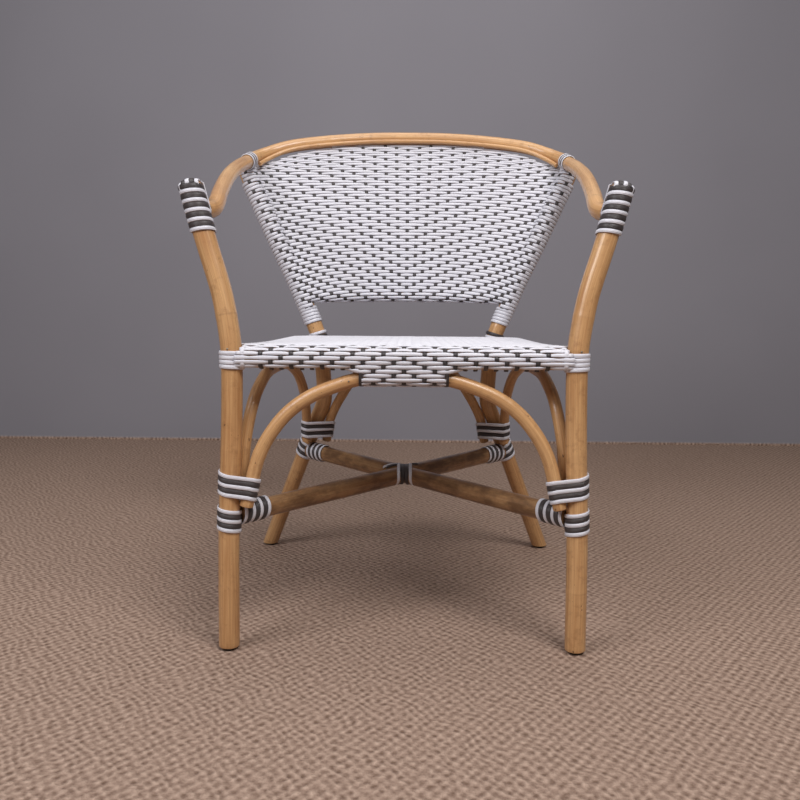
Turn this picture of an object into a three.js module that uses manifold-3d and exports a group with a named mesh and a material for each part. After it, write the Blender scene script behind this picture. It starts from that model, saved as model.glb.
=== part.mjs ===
// A rattan bistro armchair: bent poles bound with flat strands, a woven seat and a woven back.
// Millimetres, +Z up, the front faces -Y. The origin is under the middle of the chair, on the floor.
import * as THREE from 'three';
import { mergeVertices } from 'three/addons/utils/BufferGeometryUtils.js';
import Module from 'manifold-3d';

const wasm = await Module();
wasm.setup();

// Driving dimensions. Depths are measured back from the plane of the front posts.
const half_width = 255;              // middle of the chair to the centre of a front foot
const rear_foot_half_width = 289;
const rear_foot_depth = 540;
const knee_half_width = 161;         // where the rear poles come closest together
const knee_height = 322;
const seat_height = 450;             // top of the seat weave
const seat_half_width = 210;         // middle to the centre of a side seat rail
const seat_depth = 412;              // front posts to the centre of the seat's back rail
const seat_corner_radius = 48;
const arm_height = 680;              // top of a front post
const arm_lean = 18;                 // how far a front post leans back at its top
const arm_joint_height = 636;        // where the arm rail meets the front post
const back_height = 853;             // centre of the back rail, in the middle
const back_depth = 575;
const rail_tie_depth = 440;          // where the strands tie the rail
const rail_post_depth = 464;         // where the rear posts meet the rail, from below and outside
const post_overhang = 12;
const post_drop = 12;
const rod_height = 524;              // lower back rod, at the posts
const rod_rise = 4;
const rod_bow = 24;
const post_bow = 2.5;                // how far a rear post bows outwards above the seat
const seat_flare = 1.1;              // rear posts at the seat, as a share of their distance at the knee
const seat_rail_lap = 1 / 3;         // share of a front post's radius by which the seat rail runs under it
const rod_wrap_shares = [0.06, 0.94]; // where the weave goes round the lower back rod

// Poles
const front_post_radius = 15.5;
const rear_post_radius = 15.5;
const rail_radius = 12.75;
const beading_radius = 4.5;
const rod_radius = 7.5;
const arch_radius = 10.25;           // the front arch
const brace_radius = 9.25;           // the side arches and the rear one
const stretcher_radius = 15.25;
const front_rail_radius = 14.5;
const seat_rail_radius = 13;
const clearance = 0.35;              // between any two pieces that touch

// Braces under the seat
const front_arch_foot_height = 216;
const front_arch_step = 6;           // how far forward of the post plane its feet stand
const apron_half_width = 61;
const side_arch_front_height = 227;
const side_arch_rear_height = 239;
const side_arch_turn = 0.93;         // radians, round the front post from its inner side
const rear_arch_foot_height = 239;
const stretcher_front_height = 201;
const stretcher_rear_height = 218;

// Strands and weave
const white_width = 5.9;
const dark_width = 6.7;
const strand_thickness = 2;
const strand_gap = 0.5;
const weave_thickness = 4.6;
const back_weave_thickness = 4.4;
const back_wrap_thickness = 2.8;     // round the rear posts and the rod
const weave_top_height = 757;        // where the side wraps of the back weave end
const weave_foot_height = 508;

// Bindings: the height or the distance of each one's middle
const front_upper_tie_height = 249;
const front_lower_tie_height = 196;
const rear_upper_tie_height = 263;
const rear_lower_tie_height = 221;
const seat_tie_height = 427;
const post_wrap_height = 488;

// Glides
const glide_radius = 10.5;
const glide_height = 4;
const glide_bevel = 1;

// Facets
const pole_sides = 10;
const slim_sides = 8;
const beading_sides = 6;
const loop_steps = 8;
const front_post_steps = 20;
const rear_post_steps = 26;
const rail_steps = 44;
const seat_rail_steps = 26;
const arch_steps = 20;
const rod_steps = 8;
const beading_steps = 26;
const corner_steps = 5;
const sheet_columns = 16;
const sheet_rows = 6;
const overrun = 40;                  // how far a cutter reaches past what it cuts

const honey = { color: 0xd29b62, roughness: 0.45, metalness: 0 };
const white = { color: 0xe6e4ea, roughness: 0.4, metalness: 0 };
const dark = { color: 0x463e41, roughness: 0.5, metalness: 0 };
const black = { color: 0x1c1a1a, roughness: 0.6, metalness: 0 };

const V = (x, y, z) => new THREE.Vector3(x, y, z);
const up = V(0, 0, 1);
const chair = new THREE.Group();

function add(name, geometry, look) {
  geometry.computeVertexNormals();
  const mesh = new THREE.Mesh(geometry, new THREE.MeshStandardMaterial(look));
  mesh.name = name;
  chair.add(mesh);
}

// Solids and cuts

function solid(geometry) {
  const plain = geometry.index ? geometry.toNonIndexed() : geometry.clone();
  for (const key of Object.keys(plain.attributes)) {
    if (key !== 'position') plain.deleteAttribute(key);
  }
  const merged = mergeVertices(plain, 1e-4);
  const vertProperties = new Float32Array(merged.attributes.position.array);
  const triVerts = new Uint32Array(merged.index.array);
  return new wasm.Manifold(new wasm.Mesh({ numProp: 3, vertProperties, triVerts }));
}

function geometryOf(body) {
  const mesh = body.getMesh();
  const geometry = new THREE.BufferGeometry();
  geometry.setAttribute('position', new THREE.BufferAttribute(mesh.vertProperties, 3));
  geometry.setIndex(new THREE.BufferAttribute(mesh.triVerts, 1));
  return geometry;
}

function cut(body, ...cutters) {
  return cutters.reduce((rest, cutter) => rest.subtract(cutter), body);
}

// A round pole bent along a curve, in the curve's own steps.
function pole(curve, radius, sides = pole_sides) {
  const section = new THREE.Shape();
  for (let k = 0; k < sides; k++) {
    const angle = 2 * Math.PI * k / sides;
    const x = radius * Math.cos(angle);
    const y = radius * Math.sin(angle);
    if (k === 0) section.moveTo(x, y);
    else section.lineTo(x, y);
  }
  section.closePath();
  return new THREE.ExtrudeGeometry(section, { steps: curve.steps, extrudePath: curve, bevelEnabled: false });
}

// The same pole with a larger radius, which cuts its seat in a neighbour.
function seatCutter(curve, radius, sides = pole_sides) {
  return solid(pole(curve, radius / Math.cos(Math.PI / sides), sides));
}

function bent(points, steps) {
  const curve = new THREE.CatmullRomCurve3(points, false, 'centripetal');
  curve.steps = steps;
  return curve;
}

function straight(from, to) {
  const curve = new THREE.LineCurve3(from, to);
  curve.steps = 1;
  return curve;
}

function mirrored(points) {
  return points.map((p) => V(-p.x, p.y, p.z));
}

// Part of a curve, between two of its shares of length.
function stretch(curve, from, to, count) {
  const points = [];
  for (let k = 0; k <= count; k++) points.push(curve.getPointAt(from + (to - from) * k / count));
  return bent(points, count);
}

// Where a pole's middle line passes a plane, nearest to a point: the place, the direction and the share of
// length. A line that ends before the plane is carried on straight.
const samples = new Map();

function beyondEnd(points, origin, axis, distance) {
  const ends = [[points[1], points[0], 0], [points.at(-2), points.at(-1), 1]].map(([from, to, share]) => {
    const direction = to.clone().sub(from).normalize();
    const left = distance - to.clone().sub(origin).dot(axis);
    const place = to.clone().addScaledVector(direction, left / direction.dot(axis));
    return { place, direction, left, share };
  });
  return Math.abs(ends[0].left) < Math.abs(ends[1].left) ? ends[0] : ends[1];
}

function crossing(curve, origin, axis, distance) {
  if (!samples.has(curve)) samples.set(curve, curve.getSpacedPoints(curve.steps));
  const points = samples.get(curve);
  let best = null;
  for (let k = 1; k < points.length; k++) {
    const a = points[k - 1].clone().sub(origin).dot(axis) - distance;
    const b = points[k].clone().sub(origin).dot(axis) - distance;
    if (a * b > 0 || a === b) continue;
    const share = a / (a - b);
    const place = points[k - 1].clone().lerp(points[k], share);
    const away = place.distanceTo(origin);
    if (best && away >= best.away) continue;
    const direction = points[k].clone().sub(points[k - 1]).normalize();
    best = { place, direction, away, share: (k - 1 + share) / (points.length - 1) };
  }
  return best ?? beyondEnd(points, origin, axis, distance);
}

function atHeight(curve, height, near = V(0, 0, height)) {
  return crossing(curve, near, up, height - near.z);
}

// A closed body from rings of points, all with the same count.
function loft(rings) {
  const count = rings[0].length;
  const positions = [];
  for (const ring of rings) for (const p of ring) positions.push(p.x, p.y, p.z);
  const index = [];
  for (let r = 0; r + 1 < rings.length; r++) {
    for (let k = 0; k < count; k++) {
      const a = r * count + k;
      const b = r * count + (k + 1) % count;
      index.push(a, b, b + count, a, b + count, a + count);
    }
  }
  const last = (rings.length - 1) * count;
  for (let k = 1; k + 1 < count; k++) {
    index.push(0, k + 1, k);
    index.push(last, last + k, last + k + 1);
  }
  const geometry = new THREE.BufferGeometry();
  geometry.setAttribute('position', new THREE.Float32BufferAttribute(positions, 3));
  geometry.setIndex(index);
  return geometry;
}

// Windings

const pair_pitch = white_width + dark_width + 2 * strand_gap;
const belt_scale = 1 / Math.cos(Math.PI / loop_steps);
const edge_round_share = 0.13;
let least_strand_gap = Infinity;

// How far the surface of a wound pole lies from its axis.
function woundReach(radius) {
  return (radius + clearance) * belt_scale + strand_thickness;
}

// Half the length of a binding, ends of its strands included.
function bindingReach(bands) {
  return (bands + 1) * pair_pitch / 4 + dark_width / 2 + strand_gap;
}

// The point of a bundle's pole that lies farthest along a direction, in the plane at a height of the
// bundle's axis.
function support(bundle, member, height, outward) {
  const at = crossing(member.curve, bundle.origin, bundle.axis, height);
  const lean = Math.abs(at.direction.dot(bundle.axis));
  const tilt = at.direction.clone().addScaledVector(bundle.axis, -at.direction.dot(bundle.axis));
  const along = tilt.lengthSq() > 1e-6 ? tilt.normalize() : bundle.first.clone();
  const across = bundle.axis.clone().cross(along);
  const minor = (member.radius + clearance) * belt_scale;
  const major = minor / lean;
  const p = major * outward.dot(along);
  const q = minor * outward.dot(across);
  const size = Math.hypot(p, q);
  const point = at.place.clone().addScaledVector(along, major * p / size);
  point.addScaledVector(across, minor * q / size);
  return { point, reach: point.clone().sub(bundle.origin).dot(outward) };
}

// A flat strand wound round a bundle of poles as one unbroken helix. bundle has origin, axis, first (where
// the strand starts, seen from the axis), hand and members. from is the height of the first band's middle.
function winding(bundle, width, turns, pitch, from) {
  const second = bundle.axis.clone().cross(bundle.first).multiplyScalar(bundle.hand);
  const outwardAt = (angle) => bundle.first.clone().multiplyScalar(Math.cos(angle))
    .addScaledVector(second, Math.sin(angle));
  const heightAt = (angle) => from + pitch * angle / (2 * Math.PI);
  const owner = (angle) => {
    const outward = outwardAt(angle);
    let best = null;
    bundle.members.forEach((member, number) => {
      const found = support(bundle, member, heightAt(angle), outward);
      if (!best || found.reach > best.reach) best = { ...found, number };
    });
    return best;
  };
  const rings = [];
  const angles = [];
  const put = (angle, member) => {
    const outward = outwardAt(angle);
    const wound_pole = bundle.members[member];
    const edge = (share) => support(bundle, wound_pole, heightAt(angle) + share * width, outward).point;
    const low = edge(-0.5);
    const high = edge(0.5);
    const corner = (share) => low.clone().lerp(high, share).addScaledVector(outward, strand_thickness);
    rings.push([low, high, corner(1 - edge_round_share), corner(edge_round_share)]);
    angles.push(angle);
  };
  const step = 2 * Math.PI / loop_steps;
  const count = Math.round(turns * loop_steps);
  let before = owner(0);
  put(0, before.number);
  for (let k = 1; k <= count; k++) {
    const angle = k * step;
    const now = owner(angle);
    if (now.number !== before.number) {
      let low = angle - step;
      let high = angle;
      for (let tries = 0; tries < 20; tries++) {
        const middle = (low + high) / 2;
        if (owner(middle).number === before.number) low = middle;
        else high = middle;
      }
      put(low, before.number);
      put(high, now.number);
    }
    put(angle, now.number);
    before = now;
  }
  for (let a = 0; a < rings.length; a++) {
    for (let b = a + 1; b < rings.length; b++) {
      if (angles[b] - angles[a] < Math.PI) continue;
      for (const p of rings[a]) for (const q of rings[b]) {
        least_strand_gap = Math.min(least_strand_gap, p.distanceTo(q));
      }
    }
  }
  return loft(bundle.hand > 0 ? rings : rings.map((ring) => ring.slice().reverse()));
}

// White and dark strands wound side by side, white first. middle is the height of the whole binding's middle.
function pairBinding(name, bundle, white_bands, dark_bands, middle = 0) {
  const bands = white_bands + dark_bands;
  const whole = bands * pair_pitch / 2;
  const start = middle - whole / 2 + pair_pitch / 4 - pair_pitch / 2;
  const spare = 1 / loop_steps;
  add(`${name}_white_binding`, winding(bundle, white_width, white_bands - spare, pair_pitch, start), white);
  add(`${name}_dark_binding`,
    winding(bundle, dark_width, dark_bands - spare, pair_pitch, start + pair_pitch / 2), dark);
}

function plainBinding(name, bundle, turns, middle = 0) {
  const pitch = white_width + strand_gap;
  add(`${name}_binding`, winding(bundle, white_width, turns, pitch, middle - turns * pitch / 2), white);
}

// Front posts: shares of half_width, arm_lean and arm_height
const front_post_shares = [
  [1, 0, 0], [0.992, 0, 0.245], [0.967, 0, 0.484], [0.961, 0, 0.62], [0.968, 0.08, 0.666],
  [1.01, 0.38, 0.755], [1.045, 0.5, 0.803], [1.082, 0.62, 0.847], [1.119, 0.72, 0.893], [1.2, 1, 1],
];

function frontPostCurve(side) {
  return bent(front_post_shares.map(([x, y, z], k) => {
    const height = k === 0 ? glide_height + clearance : z * arm_height;
    return V(side * x * half_width, y * arm_lean, height);
  }), front_post_steps);
}

const sides = [['left', -1], ['right', 1]];
const front_post = { left: frontPostCurve(-1), right: frontPostCurve(1) };

// Arm and back rail: shares of half_width, back_depth and the rise from the arm joint to the back
const rail_shares = [
  [1.096, 0.077, 0.032], [1.096, 0.125, 0.093], [1.124, 0.209, 0.18], [1.176, 0.417, 0.387],
  [1.198, 0.591, 0.537], [1.2, 0.748, 0.657], [1.182, 0.852, 0.745], [1.11, 0.904, 0.81],
  [0.941, 0.944, 0.894], [0.6, 0.977, 0.961], [0.275, 0.997, 0.995],
];

function railCurve() {
  const rise = back_height - arm_joint_height;
  const start = atHeight(front_post.right, arm_joint_height).place;
  const half = [start, ...rail_shares.map(([x, y, z]) =>
    V(x * half_width, y * back_depth, arm_joint_height + z * rise))];
  return bent([...mirrored(half), V(0, back_depth, back_height), ...half.slice().reverse()], rail_steps);
}

const rail = railCurve();
const arm_side = { left: V(-half_width, 0, back_height), right: V(half_width, 0, back_height) };
const rail_tie = {
  left: crossing(rail, arm_side.left, V(0, 1, 0), rail_tie_depth),
  right: crossing(rail, arm_side.right, V(0, 1, 0), rail_tie_depth),
};
const rail_post = {
  left: crossing(rail, arm_side.left, V(0, 1, 0), rail_post_depth),
  right: crossing(rail, arm_side.right, V(0, 1, 0), rail_post_depth),
};

// Rear posts: a straight leg up to the knee, then the back post, bowed outwards on its way to the rail
const leg_shares = [0.5, 0.86];
const shank_shares = [[1, 0.18], [1.02, 0.5], [1.07, 0.9]];
const post_bow_shares = [[0.145, -0.6], [0.33, -0.7], [0.51, 0.2], [0.77, 0.7], [0.94, 1]];
const rear_post_depth = seat_depth + seat_rail_radius + rear_post_radius + clearance;

function rearPostCurve(side) {
  const foot = V(side * rear_foot_half_width, rear_foot_depth, 0);
  const knee = V(side * knee_half_width, rear_post_depth, knee_height);
  const seat = V(side * knee_half_width * seat_flare, rear_post_depth, seat_height + seat_rail_radius);
  const meeting = side < 0 ? rail_post.left.place : rail_post.right.place;
  const top = meeting.clone().add(V(side * post_overhang, 0, -post_drop));
  const points = [foot.clone().lerp(knee, -overrun / knee_height), foot];
  for (const share of leg_shares) points.push(foot.clone().lerp(knee, share));
  for (const [x, z] of shank_shares) {
    points.push(V(knee.x * x, rear_post_depth, knee_height + z * (seat.z - knee_height)));
  }
  points.push(seat);
  for (const [share, bow] of post_bow_shares) {
    const point = seat.clone().lerp(top, share);
    point.x += side * post_bow * bow;
    points.push(point);
  }
  points.push(top);
  return bent(points, rear_post_steps);
}

const rear_post = { left: rearPostCurve(-1), right: rearPostCurve(1) };

function footBlock() {
  const size = 3 * (rear_foot_half_width + rear_foot_depth);
  const block = new THREE.BoxGeometry(size, size, overrun * 3);
  block.translate(0, 0, glide_height + clearance - overrun * 3 / 2);
  return solid(block);
}

const wound_front_reach = woundReach(front_post_radius) + clearance;
const wound_rear_reach = woundReach(rear_post_radius) + clearance;
const wound_rail_reach = woundReach(rail_radius) + clearance;

const front_cutter = {
  left: seatCutter(front_post.left, wound_front_reach),
  right: seatCutter(front_post.right, wound_front_reach),
};
const bare_rear_cutter = {
  left: seatCutter(rear_post.left, rear_post_radius + clearance),
  right: seatCutter(rear_post.right, rear_post_radius + clearance),
};
const tie_share = bindingReach(5) / rail.getLength();
const tie_cutter = {
  left: seatCutter(stretch(rail, rail_tie.left.share - tie_share, rail_tie.left.share + tie_share, 6),
    wound_rail_reach),
  right: seatCutter(stretch(rail, rail_tie.right.share - tie_share, rail_tie.right.share + tie_share, 6),
    wound_rail_reach),
};
const rail_cutter = seatCutter(rail, rail_radius + clearance);

for (const [name, side] of sides) {
  add(`${name}_front_post`, pole(front_post[name], front_post_radius), honey);
  const post = cut(solid(pole(rear_post[name], rear_post_radius)), footBlock(), tie_cutter[name],
    rail_cutter);
  add(`${name}_rear_post`, geometryOf(post), honey);
}
add('arm_back_rail', geometryOf(cut(solid(pole(rail, rail_radius)), front_cutter.left,
  front_cutter.right)), honey);

// Glides: a turned disc under each foot
function glide() {
  const profile = [
    new THREE.Vector2(0, 0), new THREE.Vector2(glide_radius - glide_bevel, 0),
    new THREE.Vector2(glide_radius, glide_bevel), new THREE.Vector2(glide_radius, glide_height),
    new THREE.Vector2(0, glide_height),
  ];
  return new THREE.LatheGeometry(profile, 14).rotateX(Math.PI / 2);
}

for (const [name] of sides) {
  for (const [end, posts] of [['front', front_post], ['rear', rear_post]]) {
    const foot = atHeight(posts[name], glide_height + 2 * clearance).place;
    add(`${name}_${end}_glide`, glide().translate(foot.x, foot.y, 0), black);
  }
}

// Seat rails, a straight one in front and a U round the sides and the back, topped by the weave
const sheet_bottom = seat_height - weave_thickness;
const front_rail_height = sheet_bottom - clearance - front_rail_radius;
const seat_rail_height = sheet_bottom - clearance - seat_rail_radius;
const seat_post_x = atHeight(front_post.right, seat_rail_height).place.x;
const front_rail = straight(V(-seat_post_x, 0, front_rail_height), V(seat_post_x, 0, front_rail_height));
const seat_side_shares = [[1, 0.02], [0.45, 0.09], [0.08, 0.22], [0, 0.4]];

function seatRailCurve() {
  const outer = seat_post_x - front_post_radius * seat_rail_lap;
  const points = seat_side_shares.map(([x, y]) =>
    V(seat_half_width + x * (outer - seat_half_width), y * seat_depth, seat_rail_height));
  const corner = V(seat_half_width - seat_corner_radius, seat_depth - seat_corner_radius, seat_rail_height);
  for (let k = 0; k <= corner_steps; k++) {
    const angle = Math.PI / 2 * k / corner_steps;
    const out = V(Math.cos(angle), Math.sin(angle), 0);
    points.push(corner.clone().addScaledVector(out, seat_corner_radius));
  }
  return bent([...mirrored(points), ...points.slice().reverse()], seat_rail_steps);
}

const seat_rail = seatRailCurve();
const front_rail_cutter = seatCutter(front_rail, front_rail_radius + clearance);
const seat_rail_cutter = seatCutter(seat_rail, seat_rail_radius + clearance);

add('seat_front_rail', geometryOf(cut(solid(pole(front_rail, front_rail_radius, 12)), front_cutter.left,
  front_cutter.right)), honey);
add('seat_side_back_rail', geometryOf(cut(solid(pole(seat_rail, seat_rail_radius)), front_cutter.left,
  front_cutter.right, front_rail_cutter)), honey);

// Front arch: shares of its foot's distance from the middle and of its rise
const front_arch_top = front_rail_height - front_rail_radius - clearance - arch_radius;
const front_arch_shares = [
  [1, 0], [0.962, 0.2], [0.918, 0.387], [0.848, 0.55], [0.737, 0.715], [0.595, 0.84], [0.43, 0.925],
  [0.27, 0.98], [0, 1],
];

function frontArchCurve() {
  const reach = front_post_radius + arch_radius + clearance;
  const post_x = atHeight(front_post.right, front_arch_foot_height).place.x;
  const foot_x = post_x - Math.sqrt(reach * reach - front_arch_step * front_arch_step);
  const half = front_arch_shares.map(([x, z]) => V(x * foot_x, -front_arch_step * (1 - z),
    front_arch_foot_height + z * (front_arch_top - front_arch_foot_height)));
  return bent([...mirrored(half.slice(0, -1)), ...half.slice().reverse()], arch_steps);
}

const front_arch = frontArchCurve();
add('front_arch', pole(front_arch, arch_radius, slim_sides), honey);

// Side arches, under the seat weave. Shares of half_width, seat_depth and the rise
const weave_reach = clearance + weave_thickness;
const arch_top = seat_rail_height - seat_rail_radius - weave_reach - 2 * clearance - brace_radius;
const side_arch_shares = [
  [0.914, 0.06, 0.42], [0.874, 0.117, 0.79], [0.845, 0.2, 0.945], [0.839, 0.3, 0.99], [0.839, 0.42, 1],
  [0.839, 0.58, 1], [0.833, 0.7, 0.99], [0.82, 0.79, 0.955], [0.79, 0.86, 0.87], [0.765, 0.935, 0.69],
  [0.76, 1.005, 0.46],
];
const side_arch_rear_lean = 0.43;    // radians, from straight ahead of the rear post towards the outside
const rear_post_lean = 1.03;         // how much wider the leaning rear post is, cut level

function sideArchCurve(name, side) {
  const reach = front_post_radius + brace_radius + clearance;
  const front = atHeight(front_post[name], side_arch_front_height).place;
  const start = V(front.x - side * reach * Math.cos(side_arch_turn), reach * Math.sin(side_arch_turn),
    side_arch_front_height);
  const rear = atHeight(rear_post[name], rear_upper_tie_height).place;
  const rear_reach = (rear_post_radius + clearance) * rear_post_lean + brace_radius;
  const x = rear.x + side * rear_reach * Math.sin(side_arch_rear_lean);
  const y = rear.y - rear_reach * Math.cos(side_arch_rear_lean);
  const rise = arch_top - side_arch_front_height;
  const middle = side_arch_shares.map(([a, b, c]) => V(side * a * half_width, b * seat_depth,
    side_arch_front_height + c * rise));
  return bent([start, ...middle, V(x, y, rear_upper_tie_height), V(x, y, side_arch_rear_height)], arch_steps);
}

const side_arch = { left: sideArchCurve('left', -1), right: sideArchCurve('right', 1) };
for (const [name] of sides) add(`${name}_side_arch`, pole(side_arch[name], brace_radius, slim_sides), honey);

// Rear arch: shares of its foot's distance from the middle, of the way back to its feet and of its rise
const rear_arch_shares = [
  [1, 1, 0], [0.945, 0.73, 0.266], [0.78, 0.44, 0.58], [0.586, 0.22, 0.827], [0.35, 0.07, 0.966],
  [0, 0, 1],
];

function rearArchCurve() {
  const reach = (rear_post_radius + clearance) * rear_post_lean * rear_post_lean + brace_radius;
  const post = atHeight(rear_post.right, rear_upper_tie_height).place;
  const foot_x = post.x - reach;
  const half = rear_arch_shares.map(([x, y, z]) => V(x * foot_x, seat_depth + y * (post.y - seat_depth),
    rear_arch_foot_height + z * (arch_top - rear_arch_foot_height)));
  return bent([...mirrored(half.slice(0, -1)), ...half.slice().reverse()], arch_steps);
}

const rear_arch = rearArchCurve();
add('rear_arch', pole(rear_arch, brace_radius, slim_sides), honey);

// Stretchers: half lapped where they cross, each butted on the wound posts
function stretcherCurve(from, to) {
  return straight(atHeight(front_post[from], stretcher_front_height).place,
    atHeight(rear_post[to], stretcher_rear_height).place);
}

const stretcher = { left: stretcherCurve('left', 'right'), right: stretcherCurve('right', 'left') };
const lap = crossing(stretcher.left, V(0, 0, 0), V(1, 0, 0), 0).place;
const rear_wound_cutter = {
  left: seatCutter(rear_post.left, wound_rear_reach),
  right: seatCutter(rear_post.right, wound_rear_reach),
};

function lapBlock(side) {
  const size = 8 * stretcher_radius;
  const block = new THREE.BoxGeometry(size, size, size);
  block.translate(lap.x, lap.y, lap.z + side * (size - clearance) / 2);
  return solid(block);
}

for (const [name, side] of sides) {
  const other = name === 'left' ? 'right' : 'left';
  const notch = seatCutter(stretcher[other], stretcher_radius + clearance).intersect(lapBlock(side));
  const body = cut(solid(pole(stretcher[name], stretcher_radius, 12)), front_cutter[name],
    rear_wound_cutter[other], notch);
  add(`${name}_front_stretcher`, geometryOf(body), honey);
}

// Lower back rod, flush with the front of the rear posts
const rod_inset = rear_post_radius - rod_radius;

function rodCurve() {
  const end = atHeight(rear_post.right, rod_height).place;
  const points = [];
  for (let k = -4; k <= 4; k++) {
    const share = k / 4;
    const rest = 1 - share * share;
    points.push(V(share * end.x, end.y - rod_inset + rod_bow * rest, rod_height + rod_rise * rest));
  }
  return bent(points, rod_steps);
}

const rod = rodCurve();
add('lower_back_rod', geometryOf(cut(solid(pole(rod, rod_radius, slim_sides)), bare_rear_cutter.left,
  bare_rear_cutter.right)), honey);

// The back rail's neighbours lie off its axis: towards the sitter and down.
function railOffset(share, inward, down) {
  const tangent = rail.getTangentAt(share);
  const level = tangent.clone().cross(up).normalize();
  if (level.y > 0 || Math.abs(level.y) < 1e-9 && level.x > 0) level.negate();
  const below = tangent.clone().cross(level).normalize();
  if (below.z > 0) below.negate();
  return rail.getPointAt(share).addScaledVector(level, inward).addScaledVector(below, down);
}

// Beading: from tie to tie, on the rail's lower front
const beading_turn = 0.51;           // radians below level, seen from the rail's axis
const beading_reach = rail_radius + beading_radius + 2 * clearance;
const beading_start = rail_tie.left.share + tie_share;

function beadingCurve() {
  const points = [];
  for (let k = 0; k <= beading_steps; k++) {
    const share = beading_start + (1 - 2 * beading_start) * k / beading_steps;
    points.push(railOffset(share, beading_reach * Math.cos(beading_turn),
      beading_reach * Math.sin(beading_turn)));
  }
  return bent(points, beading_steps);
}

const beading = beadingCurve();
add('back_beading', geometryOf(cut(solid(pole(beading, beading_radius, beading_sides)), rail_cutter)), honey);

// Back weave: a curved sheet from the rod to the rail, wrapped round both rear posts and the rod
const sheet_bulge = 11;              // how far the sheet swells towards the sitter
const sheet_spread = 11;             // and how far its sides swell outwards
const sheet_top_reach = rail_radius + back_weave_thickness / 2 + clearance * 3;
const sheet_top_turn = 1.04;         // radians below level, seen from the rail's axis

function backSurface(u, v) {
  const low = rod.getPointAt((u + 1) / 2);
  low.y -= rod_radius + clearance + back_weave_thickness / 2;
  const share = rail_post.left.share + (rail_post.right.share - rail_post.left.share) * (u + 1) / 2;
  const high = railOffset(share, sheet_top_reach * Math.cos(sheet_top_turn),
    sheet_top_reach * Math.sin(sheet_top_turn));
  const point = low.lerp(high, v);
  const swell = 4 * v * (1 - v);
  point.x += sheet_spread * swell * u;
  point.y -= sheet_bulge * swell * (1 - u * u);
  return point;
}

function sheet(surface, columns, rows, thickness) {
  const small = 1e-3;
  const faces = [[], []];
  for (let j = 0; j <= rows; j++) {
    for (let i = 0; i <= columns; i++) {
      const u = -1 + 2 * i / columns;
      const v = j / rows;
      const across = surface(Math.min(u + small, 1), v).sub(surface(Math.max(u - small, -1), v));
      const along = surface(u, Math.min(v + small, 1)).sub(surface(u, Math.max(v - small, 0)));
      const normal = across.cross(along).normalize();
      const middle = surface(u, v);
      faces[0].push(middle.clone().addScaledVector(normal, thickness / 2));
      faces[1].push(middle.clone().addScaledVector(normal, -thickness / 2));
    }
  }
  const row = columns + 1;
  const count = faces[0].length;
  const positions = [];
  for (const face of faces) {
    for (const p of face) positions.push(p.x, p.y, p.z);
  }
  const index = [];
  const quad = (a, b, c, d) => index.push(a, b, c, a, c, d);
  for (let j = 0; j < rows; j++) {
    for (let i = 0; i < columns; i++) {
      const a = j * row + i;
      quad(a, a + 1, a + row + 1, a + row);
      quad(count + a, count + a + row, count + a + row + 1, count + a + 1);
    }
  }
  for (let i = 0; i < columns; i++) {
    const top = rows * row + i;
    quad(i, count + i, count + i + 1, i + 1);
    quad(top, top + 1, count + top + 1, count + top);
  }
  for (let j = 0; j < rows; j++) {
    const a = j * row;
    const b = a + columns;
    quad(a, a + row, count + a + row, count + a);
    quad(b, count + b, count + b + row, b + row);
  }
  const geometry = new THREE.BufferGeometry();
  geometry.setAttribute('position', new THREE.Float32BufferAttribute(positions, 3));
  geometry.setIndex(index);
  return geometry;
}

function postWrap(name) {
  const low = atHeight(rear_post[name], weave_foot_height).share;
  const high = atHeight(rear_post[name], weave_top_height).share;
  const reach = rear_post_radius + clearance + back_wrap_thickness;
  return solid(pole(stretch(rear_post[name], low, high, 8), reach));
}

const rod_wrap = solid(pole(stretch(rod, ...rod_wrap_shares, rod_steps),
  rod_radius + clearance + back_wrap_thickness, slim_sides));
const back_sheet = solid(sheet(backSurface, sheet_columns, sheet_rows, back_weave_thickness));
const beading_cutter = solid(pole(beading, beading_radius + 2 * clearance, beading_sides));
const back_basket = back_sheet.add(rod_wrap).add(postWrap('left')).add(postWrap('right'));
add('back_weave', geometryOf(cut(back_basket, bare_rear_cutter.left, bare_rear_cutter.right,
  seatCutter(rod, rod_radius + clearance, slim_sides), rail_cutter, tie_cutter.left, tie_cutter.right,
  beading_cutter)), white);

// Seat weave: a sheet over the rails, wrapped round them, and round the front arch in the middle
function seatSheet() {
  const outline = new THREE.Shape();
  const front_x = seat_post_x - wound_front_reach;
  outline.moveTo(-front_x, 0);
  outline.lineTo(front_x, 0);
  outline.lineTo(seat_half_width, seat_rail_radius * 2);
  outline.lineTo(seat_half_width, seat_depth - seat_corner_radius);
  outline.absarc(seat_half_width - seat_corner_radius, seat_depth - seat_corner_radius, seat_corner_radius, 0,
    Math.PI / 2, false);
  outline.absarc(seat_corner_radius - seat_half_width, seat_depth - seat_corner_radius, seat_corner_radius,
    Math.PI / 2, Math.PI, false);
  outline.lineTo(-seat_half_width, seat_rail_radius * 2);
  outline.closePath();
  const slab = new THREE.ExtrudeGeometry(outline, {
    depth: weave_thickness,
    bevelEnabled: false,
    curveSegments: corner_steps,
  });
  return solid(slab.translate(0, 0, sheet_bottom));
}

function apron() {
  const wrap = arch_radius + clearance + back_wrap_thickness;
  const middle = crossing(front_arch, V(apron_half_width, 0, front_arch_top), V(1, 0, 0), 0).share;
  const from = 1 - middle;
  const round = solid(pole(stretch(front_arch, from, middle, 6), wrap, slim_sides));
  const low = front_arch_top;
  const web = new THREE.BoxGeometry(2 * apron_half_width, 2 * wrap, front_rail_height - low);
  web.translate(0, 0, (front_rail_height + low) / 2);
  return round.add(solid(web));
}

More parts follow.
